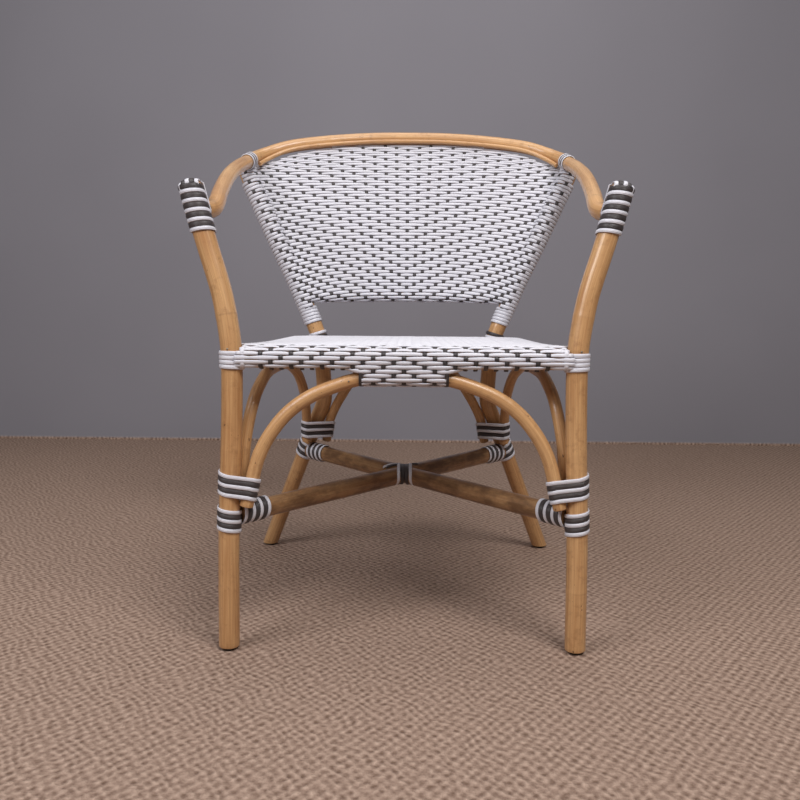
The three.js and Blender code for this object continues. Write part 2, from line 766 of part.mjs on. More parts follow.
const front_wrap_x = seat_post_x - wound_front_reach - clearance;
const front_wrap = straight(V(-front_wrap_x, 0, front_rail_height), V(front_wrap_x, 0, front_rail_height));
const seat_wraps = solid(pole(front_wrap, front_rail_radius + weave_reach, 14))
  .add(solid(pole(seat_rail, seat_rail_radius + weave_reach)));
const seat_basket = seatSheet().add(seat_wraps).add(apron());
add('seat_weave', geometryOf(cut(seat_basket, front_rail_cutter, seat_rail_cutter,
  front_cutter.left, front_cutter.right, bare_rear_cutter.left, bare_rear_cutter.right,
  seatCutter(front_arch, arch_radius + clearance, slim_sides))), white);

// Bindings
function upright(curve, height, members, first, side, axis = up) {
  const origin = atHeight(curve, height).place;
  const direction = axis.clone();
  const start = first.clone().addScaledVector(direction, -first.dot(direction)).normalize();
  return { origin, axis: direction, first: start, hand: side, members };
}

for (const [name, side] of sides) {
  const front = { curve: front_post[name], radius: front_post_radius };
  const rear = { curve: rear_post[name], radius: rear_post_radius };
  const side_brace = { curve: side_arch[name], radius: brace_radius };
  const front_brace = { curve: front_arch, radius: arch_radius };
  const rear_brace = { curve: rear_arch, radius: brace_radius };
  const back = V(-side, 1, 0);

  const arm_axis = atHeight(front_post[name], arm_joint_height).direction;
  pairBinding(`${name}_arm_tip`,
    upright(front_post[name], arm_height - bindingReach(10), [front], back, side, arm_axis), 5, 5);

  const tie = rail_tie[name];
  const rail_bundle = {
    origin: tie.place,
    axis: tie.direction.clone(),
    hand: side,
    members: [{ curve: rail, radius: rail_radius }],
  };
  rail_bundle.first = up.clone().negate().addScaledVector(tie.direction, tie.direction.z).normalize();
  pairBinding(`${name}_rail_tie`, rail_bundle, 3, 2);

  pairBinding(`${name}_front_upper`,
    upright(front_post[name], front_upper_tie_height, [front, side_brace, front_brace], back, side), 3, 2);
  pairBinding(`${name}_front_lower`,
    upright(front_post[name], front_lower_tie_height, [front], back, side), 3, 2);
  const rear_members = [rear, side_brace, rear_brace];
  pairBinding(`${name}_rear_upper`,
    upright(rear_post[name], rear_upper_tie_height, rear_members, V(side, 1, 0), side), 3, 2);
  const leg_axis = atHeight(rear_post[name], rear_lower_tie_height).direction;
  pairBinding(`${name}_rear_lower`,
    upright(rear_post[name], rear_lower_tie_height, [rear], V(side, 1, 0), side, leg_axis), 3, 2);
  plainBinding(`${name}_seat_corner`, upright(front_post[name], seat_tie_height, [front], back, side), 4);
  const post_axis = atHeight(rear_post[name], post_wrap_height).direction;
  plainBinding(`${name}_post_wrap`,
    upright(rear_post[name], post_wrap_height, [rear], V(0, 1, 0), side, post_axis), 5);

  const other = name === 'left' ? 'right' : 'left';
  const line = stretcher[name];
  const along = line.getTangentAt(0);
  const member = { curve: line, radius: stretcher_radius };
  const first_place = line.getPointAt(0);
  const last_place = line.getPointAt(1);
  const half = bindingReach(5);
  const front_bundle = {
    origin: first_place.addScaledVector(along, wound_front_reach + half),
    axis: along.clone(), hand: side, members: [member],
  };
  front_bundle.first = up.clone().negate().addScaledVector(along, along.z).normalize();
  pairBinding(`${name}_front_stretcher_front`, front_bundle, 3, 2);
  const rear_bundle = {
    origin: last_place.addScaledVector(along, -wound_rear_reach * rear_post_lean - half),
    axis: along.clone().negate(), hand: side, members: [member],
  };
  rear_bundle.first = up.clone().negate().addScaledVector(along, along.z).normalize();
  pairBinding(`${other}_rear_stretcher_end`, rear_bundle, 3, 2);
}

// The crossing's loops lie across the chair: they pass straight from the front of the lap to its rear.
function lapBundle() {
  const along = stretcher.left.getTangentAt(0);
  const reach = bindingReach(3);
  const radius = (stretcher_radius + clearance) / belt_scale - clearance;
  const spread = (stretcher_radius * (1 - along.x) + reach * along.y) / along.x
    + stretcher_radius * (belt_scale - 1);
  const members = [-1, 1].map((end) => {
    const middle = lap.clone().add(V(0, end * spread, end * spread * along.z / along.y));
    const curve = straight(middle.clone().add(V(-reach, 0, 0)), middle.clone().add(V(reach, 0, 0)));
    return { curve, radius };
  });
  return { origin: lap, axis: V(1, 0, 0), first: V(0, 0, 1), hand: 1, members };
}

pairBinding('crossing', lapBundle(), 2, 1);

console.log(`least gap of a wound strand to itself: ${least_strand_gap.toFixed(2)} mm`);

// The origin lies under the middle of the whole chair.
chair.updateMatrixWorld(true);
const extent = new THREE.Box3().setFromObject(chair);
chair.position.y = -(extent.min.y + extent.max.y) / 2;

export default chair;
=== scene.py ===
"""Rattan bistro armchair: bent poles, white and dark strand bindings, and the woven back and seat.

Lengths are in millimetres in the chair's own frame: x to the right, y back from the front legs, z up.
A piece is turned to metres in the shared frame when it is finished.
A path is a list of places and the outward direction at each; a row also has a width and a thickness at each.
"""

from bisect import bisect_right
from math import asin, ceil, copysign, cos, exp, floor, pi, radians, sin, sqrt

import bmesh
import bpy
from mathutils import Matrix, Vector, noise


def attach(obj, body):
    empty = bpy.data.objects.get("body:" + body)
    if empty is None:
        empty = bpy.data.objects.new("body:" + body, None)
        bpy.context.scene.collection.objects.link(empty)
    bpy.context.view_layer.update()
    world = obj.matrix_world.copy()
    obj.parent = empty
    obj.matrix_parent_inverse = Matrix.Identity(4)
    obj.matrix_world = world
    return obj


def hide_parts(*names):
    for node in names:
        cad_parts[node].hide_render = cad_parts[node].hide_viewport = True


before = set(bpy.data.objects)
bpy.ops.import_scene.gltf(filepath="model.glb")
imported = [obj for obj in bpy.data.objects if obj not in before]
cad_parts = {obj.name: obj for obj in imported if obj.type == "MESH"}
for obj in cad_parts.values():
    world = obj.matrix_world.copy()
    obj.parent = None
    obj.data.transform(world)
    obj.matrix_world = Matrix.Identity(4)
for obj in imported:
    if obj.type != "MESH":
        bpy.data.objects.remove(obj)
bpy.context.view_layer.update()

# ---------------- the chair's sizes
FRAME_SHIFT = Vector((0, -284.246, 0))
METRES = 0.001

HALF_WIDTH = 255
ARM_HEIGHT = 680
ARM_LEAN = 18
ARM_JOINT_HEIGHT = 636
BACK_HEIGHT = 852.35
BACK_DEPTH = 575
SEAT_DEPTH = 412
SEAT_HALF_WIDTH = 210
SEAT_CORNER = 48
SEAT_STRAIGHT = SEAT_HALF_WIDTH - SEAT_CORNER
REAR_POST_DEPTH = 440.85
REAR_FOOT = (289, 540)
KNEE_HALF_WIDTH = 161
KNEE_HEIGHT = 322
POST_AT_SEAT = (177.1, 463)
FOOT_CUT = 4.35
RAIL_TIE_DEPTH = 440
RAIL_TIE_SHIFT = 8
RAIL_POST_DEPTH = 464
ROD_HEIGHT = 524
FRONT_RAIL_HEIGHT = 430.55
SEAT_RAIL_HEIGHT = 432.05
ARCH_TOP = 405.45
FRONT_ARCH_FOOT = 216
SIDE_ARCH_FOOT = 227
SIDE_ARCH_TOP = 404.15
REAR_ARCH_FOOT = 239
REAR_TIE_HEIGHT = 263
REAR_LOWER_TIE = 221
FRONT_UPPER_TIE = 249
FRONT_LOWER_TIE = 196
SEAT_TIE_HEIGHT = 427
POST_WRAP_HEIGHT = 488
STRETCHER_TIE = (42.5, 43)
TIP_TIE_DROP = 41.25
STRETCHER_HEIGHTS = (201, 218)

POST_RADIUS = 15.5
RAIL_RADIUS = 12.75
BEADING_RADIUS = 4.5
ROD_RADIUS = 7.5
FRONT_ARCH_RADIUS = 10.25
SLIM_ARCH_RADIUS = 9.25
STRETCHER_RADIUS = 15.25
FRONT_RAIL_RADIUS = 14.5
SEAT_RAIL_RADIUS = 13
CLEARANCE = 0.35
POST_SKIN = POST_RADIUS + CLEARANCE
POST_LEAN = 1.03  # a leaning rear leg is this much wider in a level cut

WHITE_WIDTH = 5.9
DARK_WIDTH = 7.5
STRAND_THICKNESS = 2.1
STRAND_LIFT = 0.3
STEPS_PER_TURN = 30
PAIR_PITCH = 13.6
RAIL_TIE_PITCH = 15
PLAIN_PITCH = 6.4
GOLDEN = 0.618  # spreads the tints of neighbouring strands

SIDES = {"left": -1, "right": 1}
NAMES = {-1: "left", 1: "right"}
OTHER = {"left": "right", "right": "left"}
UP = Vector((0, 0, 1))
DOWN = Vector((0, 0, -1))
FORWARD = Vector((0, -1, 0))
BACKWARD = Vector((0, 1, 0))

# shares of half the width, of the arm's lean and of the arm's height
FRONT_POST_BENDS = (
    (0.992, 0, 0.245), (0.967, 0, 0.484), (0.961, 0, 0.62), (0.968, 0.08, 0.666), (1.01, 0.38, 0.755),
    (1.045, 0.5, 0.803), (1.082, 0.62, 0.847), (1.119, 0.72, 0.893), (1.2, 1, 1),
)
# shares of half the width, of the back's depth and of the rise from arm joint to back
RAIL_BENDS = (
    (1.096, 0.077, 0.032), (1.096, 0.125, 0.093), (1.124, 0.209, 0.18), (1.176, 0.417, 0.387),
    (1.198, 0.591, 0.537), (1.2, 0.748, 0.657), (1.182, 0.852, 0.745), (1.11, 0.904, 0.81),
    (0.941, 0.944, 0.894), (0.6, 0.977, 0.961), (0.275, 0.997, 0.995),
)
# shares of the foot's distance from the middle, of the depth and of the rise of each arch
FRONT_ARCH_BENDS = (
    (1, 0), (0.962, 0.2), (0.918, 0.387), (0.848, 0.55), (0.737, 0.715), (0.595, 0.84), (0.43, 0.925),
    (0.27, 0.98), (0, 1),
)
SIDE_ARCH_BENDS = (
    (0.914, 0.06, 0.42), (0.874, 0.117, 0.79), (0.845, 0.2, 0.945), (0.839, 0.3, 0.99), (0.839, 0.42, 1),
    (0.839, 0.58, 1), (0.833, 0.7, 0.99), (0.82, 0.79, 0.955), (0.79, 0.86, 0.87), (0.765, 0.935, 0.69),
    (0.76, 1.005, 0.46),
)
REAR_ARCH_BENDS = ((1, 1, 0), (0.945, 0.73, 0.266), (0.78, 0.44, 0.58), (0.586, 0.22, 0.827),
                   (0.35, 0.07, 0.966), (0, 0, 1))
# where the back's upright strands stand, as shares from the middle to the rear post
BACK_UPRIGHTS = (0, .066, .131, .197, .262, .328, .393, .459, .524, .588, .65, .71, .765, .812, .857, .902,
                 .95, 1.0)
# rise and width of each ring of the turned parts
GLIDE_PROFILE = ((0, 17.5), (0.35, 19), (1, 20.2), (2.2, 20.8), (3.4, 20.8), (3.9, 20.2), (4.0, 19))
NAIL_PROFILE = ((-1.2, 0.75), (0, 1), (0.35, 0.96), (0.75, 0.7), (0.95, 0.25))


# ---------------- bent poles
def heading_at(spots, step):
    return (spots[min(step + 1, len(spots) - 1)] - spots[max(step - 1, 0)]).normalized()


class Cane:
    """The middle line of one bent pole, read by the share of its length or by the run along it."""

    def __init__(self, bends):
        bends = [Vector(bend) for bend in bends]
        chain = [2 * bends[0] - bends[1]] + bends + [2 * bends[-1] - bends[-2]]
        self.spots = []
        for before, start, end, after in zip(chain, chain[1:], chain[2:], chain[3:]):
            gaps = [max((b - a).length, 1e-6) ** 0.5 for a, b in ((before, start), (start, end), (end, after))]
            leave = ((start - before) / gaps[0] - (end - before) / (gaps[0] + gaps[1])
                     + (end - start) / gaps[1]) * gaps[1]
            reach = ((end - start) / gaps[1] - (after - start) / (gaps[1] + gaps[2])
                     + (after - end) / gaps[2]) * gaps[1]
            for step in range(20):
                t = step / 20
                self.spots.append(start + leave * t + (3 * (end - start) - 2 * leave - reach) * t * t
                                  + (2 * (start - end) + leave + reach) * t ** 3)
        self.spots.append(bends[-1])
        self.runs = [0.0]
        for a, b in zip(self.spots, self.spots[1:]):
            self.runs.append(self.runs[-1] + (b - a).length)
        self.length = self.runs[-1]

    def at_run(self, run):
        low = min(max(bisect_right(self.runs, run) - 1, 0), len(self.runs) - 2)
        share = (run - self.runs[low]) / (self.runs[low + 1] - self.runs[low])
        return self.spots[low].lerp(self.spots[low + 1], share)

    def at(self, share):
        return self.at_run(share * self.length)

    def heading(self, share):
        run = share * self.length
        return (self.at_run(min(run + 1.5, self.length)) - self.at_run(max(run - 1.5, 0))).normalized()

    def way_at(self, run, reach=3):
        return (self.at_run(run + reach) - self.at_run(run - reach)).normalized()

    def run_where(self, axis, value):
        for a, b, run_a, run_b in zip(self.spots, self.spots[1:], self.runs, self.runs[1:]):
            if (a[axis] - value) * (b[axis] - value) <= 0 and a[axis] != b[axis]:
                return run_a + (run_b - run_a) * (value - a[axis]) / (b[axis] - a[axis])
        return 0.0 if abs(self.spots[0][axis] - value) < abs(self.spots[-1][axis] - value) else self.length

    def where(self, axis, value):
        return self.at_run(self.run_where(axis, value))

    def across_plane(self, spot, axis):
        """Where the pole passes through a plane, nearest to the plane's own spot, and its heading there."""
        best = min(self.spots, key=lambda place: (place - spot).length + 3 * abs((place - spot).dot(axis)))
        heading = heading_at(self.spots, self.spots.index(best))
        slope = heading.dot(axis)
        return best - heading * ((best - spot).dot(axis) / copysign(max(abs(slope), 0.2), slope)), heading


def mirrored(bends):
    return bends + [(-x, y, z) for x, y, z in bends[-2::-1]]


def across(way, direction):
    """A direction made square to a way."""
    return (direction - way * direction.dot(way)).normalized()


def front_post_line(side):
    bends = [(side * HALF_WIDTH, 0, FOOT_CUT)]
    bends += [(side * x * HALF_WIDTH, y * ARM_LEAN, z * ARM_HEIGHT) for x, y, z in FRONT_POST_BENDS]
    return Cane(bends)


front_post = {name: front_post_line(side) for name, side in SIDES.items()}
arm_joint = {name: front_post[name].where(2, ARM_JOINT_HEIGHT) for name in SIDES}


def rail_line():
    rise = BACK_HEIGHT - ARM_JOINT_HEIGHT
    left = [tuple(arm_joint["left"])]
    left += [(-x * HALF_WIDTH, y * BACK_DEPTH, ARM_JOINT_HEIGHT + z * rise) for x, y, z in RAIL_BENDS]
    return Cane(mirrored(left + [(0, BACK_DEPTH, BACK_HEIGHT)]))


rail = rail_line()
rail_tie_share = rail.run_where(1, RAIL_TIE_DEPTH) / rail.length
rail_post_share = rail.run_where(1, RAIL_POST_DEPTH) / rail.length


def on_side(side, share):
    """The same place on the left or on the right half of the rail."""
    return share if side < 0 else 1 - share


def rear_post_line(side):
    foot = Vector((side * REAR_FOOT[0], REAR_FOOT[1], 0))
    knee = Vector((side * KNEE_HALF_WIDTH, REAR_POST_DEPTH, KNEE_HEIGHT))
    seat = Vector((side * POST_AT_SEAT[0], REAR_POST_DEPTH, POST_AT_SEAT[1]))
    bends = [foot.lerp(knee, -0.124), foot, foot.lerp(knee, 0.5), foot.lerp(knee, 0.86), knee]
    bends += [(side * KNEE_HALF_WIDTH * x, REAR_POST_DEPTH, KNEE_HEIGHT + z * (POST_AT_SEAT[1] - KNEE_HEIGHT))
              for x, z in ((1, 0.18), (1.02, 0.5), (1.07, 0.9))]
    bends.append(seat)
    top = rail.at(on_side(side, rail_post_share)) + Vector((side * 11.4, 0, -12))
    for place, bow in ((0.145, -0.6), (0.33, -0.7), (0.51, 0.2), (0.77, 0.7), (0.94, 1)):
        bends.append(seat.lerp(top, place) + Vector((side * 2.5 * bow, 0, 0)))
    return Cane(bends + [top])


rear_post = {name: rear_post_line(side) for name, side in SIDES.items()}
rod_end = rear_post["right"].where(2, ROD_HEIGHT)
rod = Cane([(share * rod_end.x, rod_end.y - 8 + 24 * (1 - share * share), ROD_HEIGHT + 4 * (1 - share * share))
            for share in (-1, -.75, -.5, -.25, 0, .25, .5, .75, 1)])


def beside_rail(share, reach, turn):
    """A place at this reach from the rail's middle, turned down from the level towards the sitter."""
    heading = rail.heading(share)
    level = heading.cross(UP).normalized()
    level = -level if level.y > 0 else level
    below = heading.cross(level).normalized()
    below = -below if below.z > 0 else below
    return rail.at(share) + level * (reach * cos(turn)) + below * (reach * sin(turn))


# ---------------- drawing a length of cane or strand
def placed(name, data):
    """A new object in the scene."""
    item = bpy.data.objects.new(name, data)
    bpy.context.scene.collection.objects.link(item)
    return item


def of_kind(items, kind):
    return [item for item in items if isinstance(item, kind)]


class Piece:
    """One finished piece of the chair, made of drawn lengths."""

    def __init__(self, name):
        self.name = name
        self.work = bmesh.new()
        self.layers(self.work)

    @staticmethod
    def layers(work):
        marks = work.verts.layers
        return marks.float_vector.new("run"), marks.float.new("tint"), marks.float.new("knot")

    def draw(self, spots, ups, widths, thicknesses, sides=8, tint=0.5, knots=None, cuts=()):
        """Extrudes a round section from spot to spot; each step has its own width and thickness."""
        length = bmesh.new()
        run, shade, knot = self.layers(length)
        ring = bmesh.ops.create_circle(length, cap_ends=False, radius=0.5, segments=sides)["verts"]
        for vertex in ring:
            vertex[run] = (vertex.co.x, vertex.co.y, 0)
            vertex[shade] = tint
        edges = first_edges = list(length.edges)
        gone = 0.0
        for step, spot in enumerate(spots):
            if step:
                grown = bmesh.ops.extrude_edge_only(length, edges=edges)["geom"]
                ring, edges = of_kind(grown, bmesh.types.BMVert), of_kind(grown, bmesh.types.BMEdge)
                gone += (spot - spots[step - 1]).length
            heading = heading_at(spots, step)
            aside = heading.cross(ups[step]).normalized()
            up = aside.cross(heading)
            for vertex in ring:
                mark = vertex[run]
                vertex.co = spot + aside * (mark.x * widths[step]) + up * (mark.y * thicknesses[step])
                vertex[run] = (mark.x, mark.y, gone)
                vertex[knot] = knots[step] if knots else 0.0
        for end in (first_edges, edges):
            bmesh.ops.edgeloop_fill(length, edges=end)
        bmesh.ops.recalc_face_normals(length, faces=length.faces)
        for place, outward in cuts:
            self.saw(length, place, outward)
        wide = max(widths)
        for vertex in length.verts:
            mark = vertex[run]
            vertex[run] = (mark.x * wide, mark.y * wide, mark.z)
        keep = bpy.data.meshes.new("drawn_length")
        length.to_mesh(keep)
        self.work.from_mesh(keep)
        bpy.data.meshes.remove(keep)
        length.free()

    @staticmethod
    def saw(length, place, outward):
        everything = list(length.verts) + list(length.edges) + list(length.faces)
        cut = bmesh.ops.bisect_plane(length, geom=everything, plane_co=place, plane_no=outward,
                                     clear_outer=True)["geom_cut"]
        rim = of_kind(cut, bmesh.types.BMEdge)
        if rim:
            bmesh.ops.edgeloop_fill(length, edges=rim)

    def take_from(self, mesh):
        self.work.free()
        self.work = bmesh.new()
        self.layers(self.work)
        self.work.from_mesh(mesh)

    def finish(self, material, slot, *nodes, crisp=False):
        """Turns the drawn lengths into one object; a crisp piece keeps its sawn edges sharp."""
        for face in self.work.faces:
            face.smooth = True
        if crisp:
            for edge in self.work.edges:
                edge.smooth = edge.calc_face_angle(0) < 0.7
        bmesh.ops.translate(self.work, verts=self.work.verts, vec=FRAME_SHIFT)
        bmesh.ops.scale(self.work, verts=self.work.verts, vec=(METRES, METRES, METRES))
        mesh = bpy.data.meshes.new(self.name)
        self.work.to_mesh(mesh)
        self.work.free()
        mesh.materials.append(material)
        piece = placed(self.name, mesh)
        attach(piece, "root")
        if nodes:
            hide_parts(*nodes)


def carried_ups(spots, up):
    """Up directions that follow the bends without twisting."""
    ups = []
    for step in range(len(spots)):
        up = across(heading_at(spots, step), up)
        ups.append(up)
    return ups


def draw_pole(piece, cane, radius, growth, seed, start=0.0, end=None, sides=20, cuts=(), dome=0.0):
    """A peeled pole: slightly uneven, with a swollen ring at each growth joint and eased ends."""
    end = cane.length if end is None else end
    stops = [start, start + 0.5, start + 1.5, end - 1.5, end - 0.5, end]
    run = start + 7
    while run < end - 3:
        stops.append(run)
        run += 7
    stops += [end - dome * share for share in (1, 0.8, 0.6, 0.4, 0.2)] if dome else []
    joints = [start + joint * (end - start) for joint in growth]
    for joint in joints:
        stops = [stop for stop in stops if abs(stop - joint) > 8]
        stops += [joint + offset for offset in (-7, -3.5, -1.6, -0.7, 0, 0.7, 1.6, 3.5, 7)]
    stops = sorted(stop for stop in stops if start <= stop <= end)
    widths, knots = [], []
    for stop in stops:
        away = min(abs(stop - joint) for joint in joints)
        swell = 0.3 * exp(-(away / 5) ** 2) - 0.25
        wave = 0.01 * noise.noise(Vector((stop / 120, seed, 0.3)))
        from_end = min(stop - start, end - stop)
        ease = 0.9 if from_end < 0.2 else 0.35 if from_end < 1 else 0
        if dome and stop > end - dome:
            ease = radius * (1 - sqrt(1 - 0.62 * ((stop - end + dome) / dome) ** 2))
        widths.append(2 * (radius * (1 + wave) + swell - ease))
        knots.append(exp(-(away / 1.1) ** 2))
    spots = [cane.at_run(stop) for stop in stops]
    up = UP if abs((spots[1] - spots[0]).normalized().z) < 0.8 else FORWARD
    piece.draw(spots, carried_ups(spots, up), widths, widths, sides=sides, tint=(seed * 0.37) % 1,
               knots=knots, cuts=cuts)


def draw_strand(piece, path, width, thickness=STRAND_THICKNESS, tint=0.5):
    """A strand of one width that tapers a little where it is tucked in at its ends."""
    spots, ups = zip(*path)
    widths, thick = [[size * end] + [size] * (len(path) - 2) + [size * end]
                     for size, end in ((width, 0.72), (thickness, 0.6))]
    piece.draw(spots, ups, widths, thick, tint=tint)


# ---------------- finishes
class Finish:
    """A procedural finish, built node by node. A value is a number, a colour or another node's output."""

    def __init__(self, name):
        self.material = bpy.data.materials.new(name)
        self.material.use_nodes = True
        self.tree = self.material.node_tree
        self.place = self.node("ShaderNodeTexCoord").outputs["Object"]

    def node(self, kind, values=(), **settings):
        node = self.tree.nodes.new(kind)
        for name, value in settings.items():
            setattr(node, name, value)
        self.plug(node, dict(values))
        return node

    def plug(self, node, values):
        for name, value in values.items():
            if isinstance(value, bpy.types.NodeSocket):
                self.tree.links.new(value, node.inputs[name])
            else:
                node.inputs[name].default_value = value

    def surface(self, **values):
        """Sets the shader's inputs; Base_Color stands for Base Color."""
        self.plug(self.tree.nodes["Principled BSDF"],
                  {name.replace("_", " "): value for name, value in values.items()})

    def blend(self, share, first, second):
        first, second = [(*colour, 1) if isinstance(colour, tuple) else colour for colour in (first, second)]
        return self.node("ShaderNodeMix", {0: share, 6: first, 7: second}, data_type="RGBA").outputs[2]

    def layered(self, colour, layers):
        for share, laid_over in layers:
            colour = self.blend(share, colour, laid_over)
        return colour

    def work(self, operation, first, second=0.0):
        return self.node("ShaderNodeMath", {0: first, 1: second}, operation=operation).outputs[0]

    def add(self, first, second):
        return self.work("ADD", first, second)

    def times(self, first, second):
        return self.work("MULTIPLY", first, second)

    def sine(self, value, scale):
        return self.work("SINE", self.times(value, scale))

    def spread(self, value, low, high, to_low=0.0, to_high=1.0):
        return self.node("ShaderNodeMapRange", enumerate((value, low, high, to_low, to_high))).outputs[0]

    def mottle(self, places, scale=(1, 1, 1), size=1.0, detail=3.0, roughness=0.55):
        mapped = self.node("ShaderNodeMapping", {"Vector": places, "Scale": scale}).outputs[0]
        return self.node("ShaderNodeTexNoise", {"Vector": mapped, "Scale": size, "Detail": detail,
                                                "Roughness": roughness}).outputs["Fac"]

    def carried(self, name, output="Fac"):
        return self.node("ShaderNodeAttribute", attribute_name=name).outputs[output]

    def split(self, places):
        return self.node("ShaderNodeSeparateXYZ", {0: places}).outputs

    def relief(self, height, strength, distance):
        bump = self.node("ShaderNodeBump", {"Height": height, "Strength": strength, "Distance": distance})
        self.surface(Normal=bump.outputs[0])


def cane_finish(name, painted_shade):
    """Peeled and lacquered rattan: long fibres, honey patches, specks, growth rings and more or less painted shade
    in large dark clouds.
    """
    cane = Finish(name)
    run = cane.carried("run", "Vector")
    streak = cane.mottle(run, (0.34, 0.34, 0.009), detail=5)
    fibre = cane.mottle(run, (2.6, 2.6, 0.018), detail=3, roughness=0.7)
    patch = cane.mottle(cane.place, size=7, detail=2)
    speck = cane.mottle(run, (0.9, 0.9, 0.16), detail=2, roughness=0.8)
    crack = cane.mottle(run, (2.2, 2.2, 0.03), detail=2)
    blot = cane.mottle(cane.place, size=62, detail=5, roughness=0.65)
    pit = cane.mottle(cane.place, (1, 1, 0.6), size=210, detail=1)
    worn = cane.mottle(cane.place, size=38, detail=2)
    shade_cloud = cane.mottle(run, (0.05, 0.05, 0.02), detail=4, roughness=0.6)
    ring = cane.times(cane.carried("knot"), cane.spread(worn, 0.48, 0.62, 0.0, 1))
    depth = cane.add(cane.spread(streak, 0.32, 0.68, 0, 0.62), cane.spread(patch, 0.3, 0.7, 0, 0.38))
    depth = cane.add(depth, cane.spread(cane.carried("tint"), 0, 1, -0.08, 0.08))
    colour = cane.layered((0.45, 0.21, 0.078), (
        (depth, (0.79, 0.49, 0.235)),
        (cane.spread(fibre, 0.35, 0.75, 0, 0.45), (0.33, 0.145, 0.05)),
        (cane.spread(crack, 0.66, 0.74, 0, 0.55), (0.20, 0.085, 0.03)),
        (cane.spread(speck, 0.68, 0.75, 0, 0.75), (0.13, 0.055, 0.022)),
        (cane.spread(blot, 0.53, 0.78, 0, 0.6), (0.27, 0.12, 0.045)),
        (cane.spread(pit, 0.76, 0.79, 0, 0.8), (0.09, 0.04, 0.018)),
        (cane.times(ring, 0.22), (0.19, 0.08, 0.03)),
        # the last layer is painted shade: large near-black clouds, stronger the more shade the finish is given
        (cane.spread(shade_cloud, 0.4, 0.6, painted_shade * 0.55, painted_shade), (0.075, 0.029, 0.011))))
    cane.surface(Base_Color=colour, Roughness=cane.spread(fibre, 0.3, 0.8, 0.30, 0.52), Coat_Weight=0.4,
                 Coat_Roughness=0.16)
    height = cane.add(cane.times(fibre, 0.6), cane.times(streak, 0.8))
    cane.relief(cane.work("SUBTRACT", height, cane.times(ring, 0.12)), 0.35, 0.0006)
    return cane.material


def strand_finish(name, light, groove_shade_and_grain, stain, ribs, roughness, sheen, rib_depth):
    """A moulded flat strand with lengthwise ribs and painted shade in the grooves between them, slightly uneven in
    colour and dulled along its edges.
    """
    strand = Finish(name)
    run = strand.carried("run", "Vector")
    wobble = strand.mottle(run, (0.5, 0.5, 0.05), detail=1)
    aside = strand.add(strand.split(run)["X"], strand.times(wobble, 0.5))
    rib = strand.spread(strand.sine(aside, ribs), -1, 1)
    grain = strand.mottle(run, (3.2, 3.2, 0.12), detail=3, roughness=0.7)
    patch = strand.mottle(strand.place, size=22, detail=3)
    # the colour darkens in the grooves between the ribs: painted shade; the same darker colour also marks the grain
    colour = strand.layered(groove_shade_and_grain, (
        (strand.spread(rib, 0.0, 0.55), light),
        (strand.spread(patch, 0.45, 0.8, 0, 0.35), stain),
        (strand.spread(grain, 0.5, 0.8, 0, 0.3), groove_shade_and_grain),
        (strand.times(strand.carried("tint"), 0.22), stain)))
    strand.surface(Base_Color=colour, Roughness=strand.spread(grain, 0.3, 0.8, roughness, roughness + 0.18),
                   Coat_Weight=sheen, Coat_Roughness=0.3)
    strand.relief(strand.add(rib, strand.times(grain, 0.5)), rib_depth, 0.0004)
    return strand.material


def glide_finish():
    """Black moulded plastic, scuffed grey where it meets the floor."""
    glide = Finish("black_glide")
    scuff = glide.mottle(glide.place, size=420, detail=4)
    glide.surface(Base_Color=glide.blend(glide.spread(scuff, 0.45, 0.75), (0.012, 0.012, 0.013),
                                         (0.07, 0.068, 0.065)),
                  Roughness=glide.spread(scuff, 0.3, 0.8, 0.45, 0.75))
    glide.relief(scuff, 0.2, 0.0003)
    return glide.material


def wire_finish():
    """Small steel nails and staples, dulled by lacquer."""
    wire = Finish("dull_wire")
    dull = wire.mottle(wire.place, size=900, detail=3)
    wire.surface(Base_Color=wire.blend(wire.spread(dull, 0.35, 0.7), (0.42, 0.38, 0.33), (0.16, 0.13, 0.11)),
                 Roughness=wire.spread(dull, 0.3, 0.7, 0.25, 0.5), Metallic=0.9)
    return wire.material


honey_cane = cane_finish("honey_cane", 0.0)
# the same cane with painted shade in large dark clouds, for the stretchers that lie in the seat's shade
shade_darkened_cane = cane_finish("shade_darkened_cane", 0.85)
strands = {
    # the second colour of each strand is painted shade for its rib grooves, and also its grain colour
    "white": strand_finish("white_strand", (0.79, 0.785, 0.85), (0.56, 0.55, 0.63), (0.68, 0.665, 0.70),
                           ribs=3.3, roughness=0.36, sheen=0.12, rib_depth=0.45),
    "dark": strand_finish("dark_strand", (0.060, 0.050, 0.053), (0.018, 0.014, 0.016), (0.085, 0.066, 0.062),
                          ribs=4.6, roughness=0.34, sheen=0.2, rib_depth=0.7),
}
black_glide = glide_finish()
dull_wire = wire_finish()


def finish_strand(piece, colour, *nodes):
    piece.finish(strands[colour], colour + "_strand", *nodes)


# ---------------- the frame's poles
def make_pole(node, cane, radius, growth, seed, name=None, **how):
    piece = Piece((name or node) + "_cane")
    draw_pole(piece, cane, radius, growth, seed, **how)
    piece.finish(honey_cane, "rattan", node, crisp=True)


def make_posts(name, side):
    line = front_post[name]
    make_pole(name + "_front_post", line, POST_RADIUS, (0.13, 0.43, 0.715), 1.3 + side, end=line.length - 3.8,
              dome=7)
    away = Vector((side, 0, -1)).normalized()
    against_rail = rail.at(on_side(side, rail_post_share)) + away * (RAIL_RADIUS + CLEARANCE), -away
    make_pole(name + "_rear_post", rear_post[name], POST_RADIUS - 0.2, (0.16, 0.36, 0.62), 3.1 + side,
              cuts=((Vector((0, 0, FOOT_CUT)), DOWN), against_rail))


